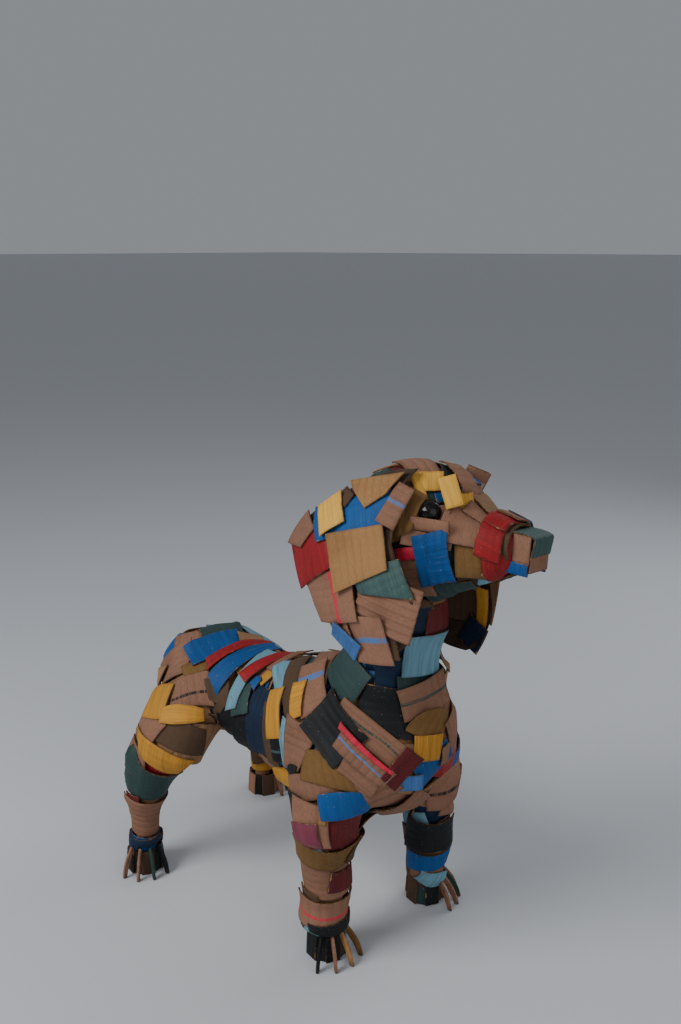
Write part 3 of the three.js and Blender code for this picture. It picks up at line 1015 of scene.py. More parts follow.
# How often each colour comes among the boards that no table places.
PLAIN_COLOURS = {
    "kraft": 24, "rose": 16, "tan": 8, "ochre": 7, "umber": 8, "blue": 6, "navy": 5, "sky": 4,
    "red": 3, "wine": 5, "gold": 5, "green": 6, "sage": 3, "black": 5, "cornflower": 2,
}
BARE = ("kraft", "rose", "tan", "ochre", "umber")
STRAYS = ("pink", "cornflower", "blue", "green")
STRAY_SHARE = 0.12
TINT_SPREAD = (0.86, 1.1)
SIDE_SPREAD = (0.85, 1.25)
TURN_SPREAD = 12
LEAST_HEIGHT = 14  # of a board that stands on a paw's rim, and how far it reaches below that rim
BELOW_RIM = 6


def tint_of(name):
    """A colour of the panel's, by its name."""
    return tuple(getattr(bpy.context.scene.hound_colours, name))


def colour_args(name, rng):
    """Tint and paint for a board, no two alike."""
    tint = np.array(tint_of(name)) * rng.uniform(*TINT_SPREAD)
    return {"tint": tuple(np.clip(tint, 0, 1)), "paint": 0.0 if name in BARE else 1.0}


def ground_boards(boards, bench):
    """Lays squares in a seeded order wherever the skin is bare, until none of it is."""
    rng = random.Random(sizes().seed)
    skin = bench.skin
    order = list(range(len(skin.corners)))
    rng.shuffle(order)
    square = sizes().square / MM
    for index in order:
        place, normal = skin.nearest(skin.corners[index])
        if skin.covered[index] or place.z < PAW_TOP or with_head_level(place).x > MUZZLE_BOARDS:
            continue
        thick = thickness_at(skin, place, normal)
        side = min(square, 0.95 * thick + 2)
        zone = zone_of(place)
        up = Vector((1, 0, 0)) if zone in ("trunk", "head") else Vector((0, 0, 1))
        if abs(up.dot(normal)) > 0.9:
            up = Vector((0, 0, 1)) if up.x else Vector((1, 0, 0))
        up = turned(up, normal, rng.gauss(0, TURN_SPREAD) + rng.choice((0, 90)))
        width, height = (side * rng.uniform(*SIDE_SPREAD) for _ in range(2))
        if place.z < PAW_TOP + height / 2:
            height = max(LEAST_HEIGHT, 2 * (place.z - PAW_TOP + BELOW_RIM))
            up = turned(Vector((0, 0, 1)), normal, 0)
        colour = rng.choices(list(PLAIN_COLOURS), list(PLAIN_COLOURS.values()))[0]
        streak = tint_of(rng.choice(STRAYS)) if rng.random() < STRAY_SHARE else None
        local, points = walked(skin, place, up, width, height)
        skin.cover(local, points, width, height)
        boards[zone].lay(
            skin, bench.pile, place, up, width, height,
            streak=streak, curl=rng.choice((0, 0, 0.3, 0.7)), rng=rng, **colour_args(colour, rng),
        )


# ---- the boards that are laid one by one ----

# Each row: station and angle as spot() takes them, width, height, turn, colour, and how the board
# differs from a plain one. A shape moves the four corners, from low left round to high left.
LAID = {
    "trunk": [
        (-99, 32, 24, 36, 140, "rose"),
        (-95, 66, 38, 38, 135, "rose"),
        (-90, -6, 36, 34, 150, "green"),
        (-112, 100, 34, 40, 120, "kraft"),
        (-66, 58, 24, 16, 145, "ochre"),
        (-58, 79, 37, 28, 130, "rose", {"streak": "black"}),
        (-35, 74, 28, 30, 130, "umber"),
        (-38, 108, 26, 30, 100, "umber"),
        (-70, 26, 50, 30, 155, "blue"),
        (-52, -14, 24, 26, 150, "kraft"),
        (-46, 14, 11, 66, 70, "red"),
        (-32, 28, 18, 62, 75, "blue"),
        (-1, 98, 26, 40, 95, "black"),
        (20, 84, 24, 52, 95, "navy"),
        (-5, 66, 19, 30, 112, "green"),
        (-12, 46, 14, 58, 92, "sky"),
        (-2, 22, 13, 48, 68, "red"),
        (12, 43, 12, 15, 155, "gold"),
        (5, 52, 10, 9, 155, "blue"),
        (14, 6, 16, 40, 80, "rose"),
        (34, 40, 16, 44, 140, "sky"),
        (40, 90, 13, 50, 98, "umber"),
        (51, 96, 15, 22, 95, "black", {"streak": "sage"}),
        (51, 44, 17, 66, 128, "umber"),
        (66, 20, 16, 50, 120, "rose"),
        (73, 40, 22, 44, 130, "rose", {"streak": "cornflower"}),
        (44, 69, 18, 36, 108, "gold"),
        (68, 53, 14, 27, 118, "gold"),
        (62, 90, 9, 42, 88, "sky"),
        (78, 85, 27, 40, 85, "rose"),
        (80, 106, 20, 16, 100, "black"),
    ],
    "chest": [
        (291, 40, 14, 34, -10, "navy"),
        (289, -8, 24, 24, -5, "wine"),
        (301, 22, 8, 32, 15, "umber"),
        (265, 53, 18, 14, 5, "navy"),
        (262, 84, 26, 30, 5, "navy"),
        (158, 92, 46, 20, 25, "rose"),
        (175, 83, 42, 28, 20, "ochre", {"shape": [(-6, 8), (0, -8), (-6, -3), (2, 3)]}),
        (247, 56, 24, 30, 0, "navy"),
        (222, 53, 44, 36, 0, "black", {"shape": [(-3, 4), (2, -7), (-4, -2), (2, 1)]}),
        (241, 112, 36, 50, 70, "green", {"shape": [(-4, 6), (-5, 6), (-4, 4), (-4, 8)]}),
        (241, 16, 37, 14, -5, "green"),
        (263, 12, 36, 33, -8, "sky"),
        (229, 12, 42, 26, 8, "rose", {"streak": "green"}),
        (206, 9, 30, 27, -35, "ochre"),
        (189, -18, 22, 40, 15, "rose"),
        (177, 8, 36, 22, 25, "blue"),
        (192, 15, 24, 18, -10, "gold"),
        (168, 31, 24, 14, 0, "cornflower"),
        (182, 0, 10, 18, 5, "rose"),
        (164, 49, 28, 18, 25, "rose"),
        (203, 60, 62, 20, -32, "rose", {"streak": "green"}),
        (199, 90, 35, 43, 62, "black"),
        (174, 63, 34, 15, -32, "rose"),
        (186, 61, 48, 13, -34, "rose", {"streak": "cornflower"}),
        (192, 60, 50, 3.6, -34, "pink"),
        (181, 35, 14, 31, -45, "wine"),
    ],
    "head": [
        (144, 12, 22, 46, 150, "rose"),
        (122, 46, 22, 12, 140, "green"),
        (168, -22, 12, 20, 15, "blue"),
        (167, 3, 12, 18, 140, "black"),
        (181, 4, 13, 13, 160, "umber"),
        (172, -5, 13, 34, 160, "rose"),
        (202, 150, 22, 28, 70, "umber"),
        (182, 165, 38, 30, 75, "green"),
        (212, 154, 16, 22, 50, "sky"),
        (166, 138, 20, 32, 95, "rose"),
        (159, 109, 16, 8, 110, "black"),
        (162, 115, 16, 9, 105, "pink"),
        (202, 110, 22, 34, 98, "ochre"),
        (174, 79, 36, 31, 85, "rose"),
        (158, 72, 22, 33, 90, "ochre", {"shape": [(0, -6), (-3, 6), (0, -4), (-3, 4)]}),
        (179, 85, 5, 11, 110, "sky"),
        (197, 74, 32, 23, 105, "rose"),
        (203, 40, 32, 12, 92, "rose"),
        (196, -24, 30, 20, 90, "kraft"),
        (180, 122, 25, 35, 104, "blue", {"flute": 0.4, "lift": -1}),
        (219, 172, 18, 28, 92, "rose"),
        (221, 107, 20, 34, 92, "red"),
        (217, 58, 20, 38, 92, "red"),
        (219, -20, 19, 34, 90, "red"),
        (219, -62, 20, 34, 88, "rose"),
        (219, -112, 20, 32, 92, "blue"),
        (219, -155, 20, 30, 90, "umber"),
        (174, 41, 7, 8, 135, "blue"),
        (180, 50, 5, 12, 140, "rose"),
    ],
    "hind_right": [
        (152, 54, 48, 28, -12, "umber"),
        (150, 110, 30, 34, -25, "rose"),
        (168, 112, 26, 28, 30, "gold"),
        (166, 50, 34, 13, 5, "gold"),
        (117, 105, 26, 34, -15, "rose"),
        (99, 40, 48, 40, -18, "green"),
        (131, 50, 46, 22, -15, "gold", {"shape": [(3, 2), (-8, -5), (2, -6), (-6, 2)]}),
        (66, 98, 14, 30, -5, "wine"),
        (57, 36, 36, 40, -5, "rose"),
        (29, 30, 48, 14, -2, "blue"),
        (29, 150, 48, 14, 2, "navy"),
    ],
    "hind_left": [
        (33, 60, 40, 15, 0, "gold"),
        (52, -30, 38, 26, 5, "umber"),
    ],
    "front_right": [
        (133, 118, 16, 30, 5, "black"),
        (96, 112, 18, 34, -5, "blue"),
        (76, 66, 46, 32, 2, "rose"),
        (76, -2, 22, 18, -5, "wine"),
        (45, 104, 18, 40, 0, "umber"),
        (129, 30, 34, 34, -3, "wine"),
        (131, 82, 30, 34, 0, "rose"),
        (122, 84, 22, 17, 12, "plum"),
        (142, 58, 4, 18, 0, "tan"),
        (150, 33, 34, 20, 5, "blue"),
        (102, 44, 52, 22, 0, "ochre"),
        (102, -80, 44, 24, 0, "umber"),
        (33, 84, 11, 14, -10, "sky"),
        (46, 42, 44, 28, -2, "rose", {"streak": "pink"}),
        (32, 10, 36, 11, 2, "black"),
    ],
    "front_left": [
        (124, 62, 34, 46, -5, "kraft"),
        (122, 8, 30, 44, 5, "rose", {"streak": "black"}),
        (68, 82, 22, 18, 5, "wine"),
        (36, 96, 16, 42, 0, "umber"),
        (32, 42, 24, 10, -5, "rose"),
        (46, 34, 36, 18, 2, "blue"),
        (72, 30, 40, 28, -2, "black"),
        (27, 22, 22, 12, -25, "sky"),
    ],
}

# Flat boards over the right eye: how far right of it and above it they are when it is looked at
# square on, how far off the skin, their width, height and lean to the left, and their colour.
BROW_BOARDS = [
    (-8.6, 18.6, 2.4, 7, 21, 22, "yellow"),
    (0, 23, 3.6, 18, 14, 2, "yellow"),
    (24.6, 8.2, 8.4, 12, 14, 8, "yellow"),
    (14.0, 13.4, 10.6, 13, 23, 17, "yellow"),
]
BROW_WAY = (0.52, -0.72, 0.46)

# Colours of the boards round a paw, taken twice over, from behind its right side round its front.
PAW_BOARDS = {
    "front_right": ("sky", "black", "black", "black", "umber"),
    "front_left": ("wine", "umber", "green", "black", "umber"),
    "hind_right": ("navy", "black", "black", "umber", "black"),
    "hind_left": ("umber", "rose", "black", "umber", "rose"),
}
PAW_COUNT = 10
PAW_FIRST = -137
PAW_RADIUS = 13.6
PAW_STEP_OUT = 0.9
PAW_WIDTH = 12.5

# Each row: x, z, width, height, turn, colour, and how the board differs, for the right ear.
RIGHT_EAR = [
    (155, 296, 30, 40, 10, "umber"),
    (100, 325, 40, 36, 30, "umber"),
    (120, 370, 52, 26, 25, "umber"),
    (163, 316, 48, 42, -12, "rose", {"flute": 0.5, "along": True}),
    (148, 289, 35, 38, 12, "rose", {"streak": "cornflower"}),
    (120, 292, 26, 20, 25, "rose"),
    (113, 313, 50, 38, 22, "rose", {"streak": "pink", "upright": True}),
    (86, 339, 50, 39, 32, "red"),
    (74, 352, 32, 24, 85, "rose", {"shape": [(6, 6), (-6, -5), (0, -8), (0, 8)]}),
    (157, 334, 43, 24, 30, "sage", {"shape": [(2, 10), (-2, -8), (-2, -2), (2, 3)]}),
    (125, 374, 66, 29, 25, "blue", {"shape": [(-2, 3), (-5, 0), (-2, -2), (-4, 4)]}),
    (139, 350, 48, 38, 20, "tan", {"shape": [(-2, -4), (-2, 5), (-2, 0), (-2, 1)]}),
    (111, 384, 12, 15, 70, "umber"),
    (105, 371, 23, 26, 38, "yellow"),
    (157, 385, 14, 32, -14, "rose", {"streak": "cornflower"}),
    (138, 392, 36, 24, 28, "tan", {"shape": [(8, 0), (-9, 6), (5, -2), (-8, 6)]}),
    (127, 282, 27, 21, -35, "cornflower"),
]

# What the left ear's outer boards have in place of the right ear's colours.
LEFT_EAR_COLOURS = {
    "red": "navy", "blue": "gold", "tan": "rose", "sage": "red", "yellow": "blue",
    "cornflower": "tan", "rose": "kraft",
}

# The same as RIGHT_EAR for the inner faces, and how many of the rows the right ear has too.
EAR_INSIDE = [
    (122, 366, 48, 24, 22, "umber"),
    (102, 346, 44, 36, 30, "black"),
    (122, 312, 42, 38, 30, "umber"),
    (142, 342, 40, 50, 8, "umber"),
    (148, 308, 34, 40, 6, "umber"),
    (162, 340, 11, 50, 4, "tan"),
    (173, 304, 10, 30, 4, "gold"),
    (167, 281, 22, 24, -25, "navy"),
]
RIGHT_INSIDE = 5
EAR_LIFT = -1.8
EAR_CORE_DEPTH = 1.9


# ---- operators ----

CORE_DEPTH = 2.4  # how far below the first boards the inner form lies
CORE_OFF_FLOOR = 2
STEM_RADIUS = 7.0
STEM_RISE = 5
STEM_REACH = 40


class HOUND_OT_core(bpy.types.Operator):
    """Makes the inner form that shows between the boards, coloured dark as painted shade for the gaps"""

    bl_idname = "hound.core"
    bl_label = "Inner form"

    def execute(self, context):
        skin = Bench.get().skin
        mesh = placed_mesh("board_core", skin.corners, skin.faces)
        shrink(mesh, sizes().bed / MM + CORE_DEPTH)
        for vertex in mesh.vertices:
            x, y, z = vertex.co
            vertex.co = self.within_paw(Vector((x, y, max(z, CORE_OFF_FLOOR * MM))))
        form = bmesh.new()
        form.from_mesh(mesh)
        everything = form.verts[:] + form.edges[:] + form.faces[:]
        mouth_back = to_frame((MOUTH_BACK, 0, 0))
        cut = bmesh.ops.bisect_plane(
            form, geom=everything, plane_co=mouth_back, plane_no=(1, 0, 0), clear_outer=True
        )
        bmesh.ops.holes_fill(form, edges=[e for e in cut["geom_cut"] if isinstance(e, bmesh.types.BMEdge)])
        form.to_mesh(mesh)
        form.free()
        mesh.polygons.foreach_set("use_smooth", [True] * len(mesh.polygons))
        mesh.materials.append(finish_of("inner"))
        dressed(linked("board_core", mesh), "board_body", "body")
        return {"FINISHED"}

    def within_paw(self, place):
        """The place, drawn in to a slim stem when it is low in a leg."""
        for line in LEG_LINES.values():
            hub = to_frame(line[-1])
            away = Vector((place.x - hub.x, place.y - hub.y))
            low = place.z < (PAW_TOP + STEM_RISE) * MM
            if low and STEM_RADIUS * MM < away.length < STEM_REACH * MM:
                away = away.normalized() * STEM_RADIUS * MM
                return Vector((hub.x + away.x, hub.y + away.y, place.z))
        return place


def shrink(mesh, depth):
    """Moves a mesh's corners inwards by a depth in millimetres."""
    mesh.update()
    normals = [v.normal.copy() for v in mesh.vertices]
    for vertex, normal in zip(mesh.vertices, normals):
        vertex.co = vertex.co - normal * depth * MM


BOARD_ZONES = (
    "trunk", "neck", "head", "tail", "front_right", "front_left", "hind_right", "hind_left",
)
SLIM = 10  # boards narrower than this have no curled corner
STIFF, LIMP = 2, 4


def options_of(row):
    """How a table's board differs from a plain one."""
    return row[6] if len(row) > 6 else {}


def lay_row(boards, skin, pile, place, up, row, rng, **more):
    """Lays one board of a table at a place that is already found."""
    width, height, colour = row[2], row[3], row[5]
    options = {**options_of(row), **more}
    if "streak" in options:
        options["streak"] = tint_of(options["streak"])
    slim = min(width, height) < SLIM
    boards.lay(
        skin, pile, place, up, width, height, curl=0.0 if slim else rng.choice((0, 0.2, 0.5)),
        rng=rng, **options, **colour_args(colour, rng),
    )


def bend_for(size, thick):
    """How freely a board may bend where it goes round something so thick."""
    return STIFF if size < 0.9 * thick else LIMP


def placed_boards(bench):
    """Each board of LAID with its zone, its place and upward way on the skin, and how freely it bends."""
    for zone, rows in LAID.items():
        for row in rows:
            station, angle, width, height, turn = row[:5]
            place, normal, up = spot(bench.skin, zone, station, angle)
            thick = thickness_at(bench.skin, place, normal)
            bend = (bend_for(width, thick), bend_for(height, thick))
            yield zone, row, place, turned(up, normal, turn), bend


def reserve_places(bench):
    """Marks what the placed boards will hide, so that the ground boards keep out from under them."""
    for _, row, place, up, _ in placed_boards(bench):
        local, points = walked(bench.skin, place, up, row[2], row[3])
        bench.skin.cover(local, points, row[2], row[3])


def lay_placed_boards(boards, bench):
    """Lays the boards of LAID over the ground boards."""
    for zone, row, place, up, bend in placed_boards(bench):
        target = boards["neck" if zone == "chest" else zone]
        lay_row(target, bench.skin, bench.pile, place, up, row, bench.rng, bend=bend)


def paw_boards(boards, bench):
    """Stands short boards close together round each paw, from its right hand to its left."""
    for zone, colours in PAW_BOARDS.items():
        hub = Vector(LEG_LINES[zone][-1])
        hub.z = PAW_TOP / 2 + 1
        for i in range(PAW_COUNT):
            bearing = math.radians(360 / PAW_COUNT * i + PAW_FIRST)
            out = Vector((math.cos(bearing), math.sin(bearing), 0))
            up = Vector((0, 0, 1)) - out * 0.08
            place = hub + out * (PAW_RADIUS + PAW_STEP_OUT * (i % 2))
            boards[zone].panel(
                place, Vector((-out.y, out.x, 0)), up, PAW_WIDTH, PAW_TOP + 1,
                board=1.3, bend=0.4, **colour_args(colours[i % len(colours)], bench.rng),
            )


class HOUND_OT_boards(bpy.types.Operator):
    """Lays the boards of the trunk, chest, head, tail and legs"""

    bl_idname = "hound.boards"
    bl_label = "Body boards"

    def execute(self, context):
        bench = Bench.get()
        boards = {zone: Boards(f"boards_{zone}") for zone in BOARD_ZONES}
        reserve_places(bench)
        ground_boards(boards, bench)
        paw_boards(boards, bench)
        lay_placed_boards(boards, bench)
        for group in boards.values():
            group.finish("board_body", "body")
        return {"FINISHED"}


SIDES = (("right", -1), ("left", 1))


class HOUND_OT_ears(bpy.types.Operator):
    """Makes both ears: a thin inner board, and boards over its two faces"""

    bl_idname = "hound.ears"
    bl_label = "Ears"

    def execute(self, context):
        rng = Bench.get().rng
        for name, side in SIDES:
            node = f"ear_{name}"
            self.core(node)
            outer, inner = Flap(node, side, True), Flap(node, side, False)
            boards = Boards(f"boards_{node}")
            outside, inside = Pile(), Pile()
            away = to_figure(middle(node)) - to_figure(middle("ear_right"))
            shift = (away.x, away.z)
            # A board's turn is seen from outside its face, so on one that faces left it is reversed.
            for row in EAR_INSIDE[: RIGHT_INSIDE if name == "right" else None]:
                self.lay(boards, inner, inside, row, side, shift, rng)
            for row in RIGHT_EAR:
                if name == "left":
                    row = (*row[:5], LEFT_EAR_COLOURS.get(row[5], row[5]))
                self.lay(boards, outer, outside, row, -side, shift, rng)
            boards.finish("board_ears", node)
        return {"FINISHED"}

    def lay(self, boards, flap, pile, row, hand, shift, rng):
        """Lays one board of an ear's table, shifted in x and z, its turn reversed for hand -1."""
        x, z = row[0] + shift[0], row[1] + shift[1]
        place, normal = flap.nearest(Vector((x, flap.y_at(x, z), z)))
        up = turned(Vector((0, 0, 1)), normal, row[4] * hand)
        lay_row(boards, flap, pile, place, up, row, rng, lift=EAR_LIFT)

    def core(self, node):
        """Makes the thin board inside an ear from the ear's solid."""
        mesh = placed_mesh(f"core_{node}", *cad_arrays(node))
        shrink(mesh, EAR_CORE_DEPTH)
        mesh.materials.append(finish_of("inner"))
        dressed(linked(f"core_{node}", mesh), "board_ears", node)


# The nose: half its width, the heights of its front board, and x and z along its folded cap.
NOSE_HALF = 12
NOSE_FRONT = (345.4, 346.2, 349, 352, 356, 359)
NOSE_CAP = [
    (222, 371.8), (223, 371.9), (230, 372.6), (238, 372.4), (244, 371.6), (247.2, 370.4),
    (248, 368.6), (247.6, 365), (247, 361.5), (246.6, 358.4), (246.4, 357.2), (246.3, 356.6),
]
# The two boards of each cheek of the nose: x, how far inside its half width, z, width, height, board.
NOSE_CHEEKS = ((232.5, 2.6, 362.8, 19, 17, 1.8), (237.5, 1.2, 361, 14, 20, 1.6))

# The band round the mouth: its middle, its half width and height, and how far its ends lap.
RIM_MIDDLE = (226.6, 0, 361)
RIM_REACH = (15.6, 13.0)
RIM_POINTS, RIM_ROUND, RIM_START, RIM_SWELL = 61, 59, -1.2, 0.05

# The doubled square behind the left brow: its middle, and its turns about z, y and x in degrees.
FLAP_MIDDLE = (170, 27, 396)
FLAP_TURNS = (("Z", -38), ("Y", 12), ("X", -20))


class HOUND_OT_face(bpy.types.Operator):
    """Makes the eyes, nose, muzzle rim, lower lip and the loose brow boards"""

    bl_idname = "hound.face"
    bl_label = "Face"

    def execute(self, context):
        rng = Bench.get().rng
        for side, _ in SIDES:
            self.eye(side)
        makers = (
            ("nose_boards", self.nose, "board_nose", "nose"),
            ("muzzle_rim", self.rim, "board_body", "body"),
            ("lip_board", self.lip, "board_nose", "lower_lip"),
            ("lower_lids", self.lids, "board_body", "body"),
            ("brow_boards", self.brow, "board_nose", "brow_flap_left"),
        )
        for name, maker, slot, node in makers:
            boards = Boards(name)
            maker(boards, rng)
            boards.finish(slot, node)
        return {"FINISHED"}

    def eye(self, side):
        corners, faces = ball(eye_centre(side), EYE_RADIUS + 0.1, 24, 36)
        mesh = placed_mesh(f"eyeball_{side}", corners, faces)
        mesh.polygons.foreach_set("use_smooth", [True] * len(mesh.polygons))
        mesh.materials.append(finish_of("eye"))
        dressed(linked(f"eyeball_{side}", mesh), "eyes", f"eye_{side}")

    def nose(self, boards, rng):
        along, up, right = head_way(1, 0, 0), head_way(0, 0, 1), head_way(0, -1, 0)
        for side in (-1, 1):
            # From its own side, a cheek's top edge is level and its foot is drawn back.
            for x, inside, z, width, height, board in NOSE_CHEEKS:
                place = with_head_roll((x, side * (NOSE_HALF - inside), z))
                boards.panel(
                    place, along * -side, up, width, height, board=board, **colour_args("rose", rng)
                )
        front = [with_head_roll((243.4, 0, z)) for z in reversed(NOSE_FRONT)]
        boards.ribbon(front, right, 2 * NOSE_HALF - 1, board=2.4, **colour_args("rose", rng))
        boards.panel(
            with_head_roll((236.5, 0, 347.5)), right, head_way(0.25, 0, 1), 17, 12, board=2,
            **colour_args("kraft", rng),
        )
        cap = [with_head_roll((x, 0, z)) for x, z in NOSE_CAP]
        boards.ribbon(cap, right * -1, 2 * NOSE_HALF + 0.6, board=1.4, **colour_args("sage", rng))

    def rim(self, boards, rng):
        """The thick raw edge round the mouth, as a band of board with its ends lapped."""
        path = []
        for i in range(RIM_POINTS):
            turn = 2 * math.pi * i / RIM_ROUND + RIM_START
            y, z = (math.copysign(abs(v) ** 0.8, v) for v in (math.cos(turn), math.sin(turn)))
            swell = 1 + RIM_SWELL * i / (RIM_POINTS - 1)
            x, _, middle_z = RIM_MIDDLE
            path.append(with_head_roll((x, RIM_REACH[0] * swell * y, middle_z + RIM_REACH[1] * swell * z)))
        boards.ribbon(path, head_way(-1, 0, 0), 7, board=1.6, **colour_args("umber", rng))

    def lip(self, boards, rng):
        """The tongue of board in the mouth's bottom, between two upright sides."""
        boards.panel(
            with_head_roll((232.5, 0, 350.2)), head_way(0, 1, 0), head_way(-1, 0, 0.08), 20, 17,
            bend=0.5, board=2.4, **colour_args("blue", rng),
        )
        for side in (-1, 1):
            boards.panel(
                with_head_roll((232, side * 11.2, 347.6)), head_way(-side, 0, 0),
                head_way(0, 0.1 * side, 1), 24, 9, board=1.8, **colour_args("blue", rng),
            )

    def lids(self, boards, rng):
        """A board under each eye."""
        up = head_way(0, 0, 1)
        for name, side in SIDES:
            out, across = head_way(0.3, side, -0.1), head_way(-side, 0.3, 0)
            place = eye_centre(name) + out * (EYE_RADIUS - 1.2) + across * 3 - up * 6.8
            boards.panel(
                place, across, up + out * 0.25, 29, 10, board=1.5, bend=0.6, **colour_args("rose", rng)
            )

    def brow(self, boards, rng):
        """The loose square behind the left brow, and the flat boards over the right eye."""
        turn = Matrix.Identity(3)
        for axis, degrees in FLAP_TURNS:
            turn = turn @ Matrix.Rotation(math.radians(degrees), 3, axis)
        out, across, up = (head_way(*(turn @ Vector(v))) for v in ((1, 0, 0), (0, 1, 0), (0, 0, 1)))
        place = with_head_roll(FLAP_MIDDLE)
        worn = place + out * 3.2 - up * 3.6 + across * 1.5
        rose, kraft, pale = (colour_args(name, rng) for name in ("rose", "kraft", "pale"))
        boards.panel(place + out * 0.8, across, up, 18, 16, board=2.1, warp=0.3, **rose)
        boards.panel(place - out * 2.9, across, up, 17.6, 15.4, board=2.1, **kraft)
        boards.panel(worn, across, up, 12, 6.5, board=0.25, **pale)
        out = Vector(BROW_WAY).normalized()
        right = Vector((0, 0, 1)).cross(out).normalized()
        above = out.cross(right)
        for aside, over, off, width, height, lean, colour in BROW_BOARDS:
            inside = eye_centre("right") + right * aside + above * over - out * 30
            place, _ = Bench.get().skin.along(inside, out)
            up = turned(above, out, lean)
            boards.panel(
                place + out * off, up.cross(out), up, width, height, board=1.35, bend=0.6, warp=0.3,
                **colour_args(colour, rng),
            )


# A claw's profile: where it starts from the paw's middle, how high, and how far it bows out.
CLAW_START, CLAW_TOP, CLAW_BOW, CLAW_STEPS = 12.5, PAW_TOP + 6.5, 2.8, 12
CLAW_OFF_FLOOR = 0.15
CLAW_SHARP, CLAW_BEVEL = 1.2, 0.35


class HOUND_OT_claws(bpy.types.Operator):
    """Fans the claws of each paw out from its front"""

    bl_idname = "hound.claws"
    bl_label = "Claws"

    def execute(self, context):
        for paw in CLAW_COLOURS:
            nodes = [f"claw_{paw}_{i}" for i in range(1, 5)]
            self.fan(context, paw, Vector((*LEG_LINES[paw][-1][:2], 0)), nodes)
        return {"FINISHED"}

    def fan(self, context, paw, hub, nodes):
        """One paw's claws, turned round its middle as its solids are."""
        board = sizes().claw / MM

        def bearing(node):
            away = to_figure(middle(node)) - hub
            return math.atan2(away.y, away.x)

        def reach(node):
            low, high = (to_figure(c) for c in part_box(node))
            tips = [(x - hub.x, y - hub.y) for x in (low.x, high.x) for y in (low.y, high.y)]
            turn = Vector((math.cos(bearing(node)), math.sin(bearing(node))))
            return max(Vector(t).dot(turn) for t in tips) - board / 2

        first, last = bearing(nodes[0]), bearing(nodes[-1])
        claw = self.claw(min(reach(n) for n in nodes), board)
        obj = linked(f"claws_{paw}", bpy.data.meshes.new(f"claws_{paw}"))
        modifier = obj.modifiers.new("fan", "NODES")
        modifier.node_group = fan_tree()
        inputs = {
            "Claw": claw, "Count": len(nodes), "First": first, "Step": (last - first) / (len(nodes) - 1),
            "Place": to_frame(hub), "Finish": finish_of(paw),
        }
        for item in modifier.node_group.interface.items_tree:
            if item.name in inputs and item.in_out == "INPUT":
                modifier[item.identifier] = inputs[item.name]
        context.view_layer.update()
        shown = obj.evaluated_get(context.evaluated_depsgraph_get())
        mesh = bpy.data.meshes.new_from_object(shown)
        obj.modifiers.remove(modifier)
        obj.data = mesh
        mesh.name = f"claws_{paw}"
        bpy.data.objects.remove(claw)
        dressed(obj, "board_claws", *nodes)

    def claw(self, reach, board):
        """One claw standing on the ground along +X, its outer edge bowed like a finger."""
        start, rim = CLAW_START, CLAW_TOP
        outer, inner = [], []
        for i in range(CLAW_STEPS + 1):
            t = i / CLAW_STEPS
            bow = math.sin(math.pi * t) * CLAW_BOW
            outer.append((start + 4 + (reach - start - 4) * t**1.1 + bow, rim * (1 - t) ** 0.9))
            inner_x = start + 1 + (reach - start - 4.6) * t**1.2 + bow * 0.6
            inner.append((inner_x, max(0.0, (rim - 3) * (1 - t) ** 0.95)))
        profile = outer + inner[::-1]
        form = bmesh.new()
        low, high = (
            [form.verts.new(Vector((x, side * board / 2, z + CLAW_OFF_FLOOR)) * MM) for x, z in profile]
            for side in (-1, 1)
        )
        count = len(profile)
        for i in range(len(outer) - 1):
            j, k = i + 1, count - 1 - i
            form.faces.new([low[i], low[k], low[k - 1], low[j]])
            form.faces.new([high[j], high[k - 1], high[k], high[i]])
        for i in range(count):
            j = (i + 1) % count
            form.faces.new([low[i], low[j], high[j], high[i]])
        bmesh.ops.recalc_face_normals(form, faces=form.faces)
        edges = [e for e in form.edges if e.calc_face_angle(0) > CLAW_SHARP]
        bmesh.ops.bevel(form, geom=edges, offset=CLAW_BEVEL * MM, segments=1, affect="EDGES")
        mesh = bpy.data.meshes.new("claw")
        form.to_mesh(mesh)
        form.free()
        obj = linked("claw", mesh)
        obj.hide_render = True
        return obj


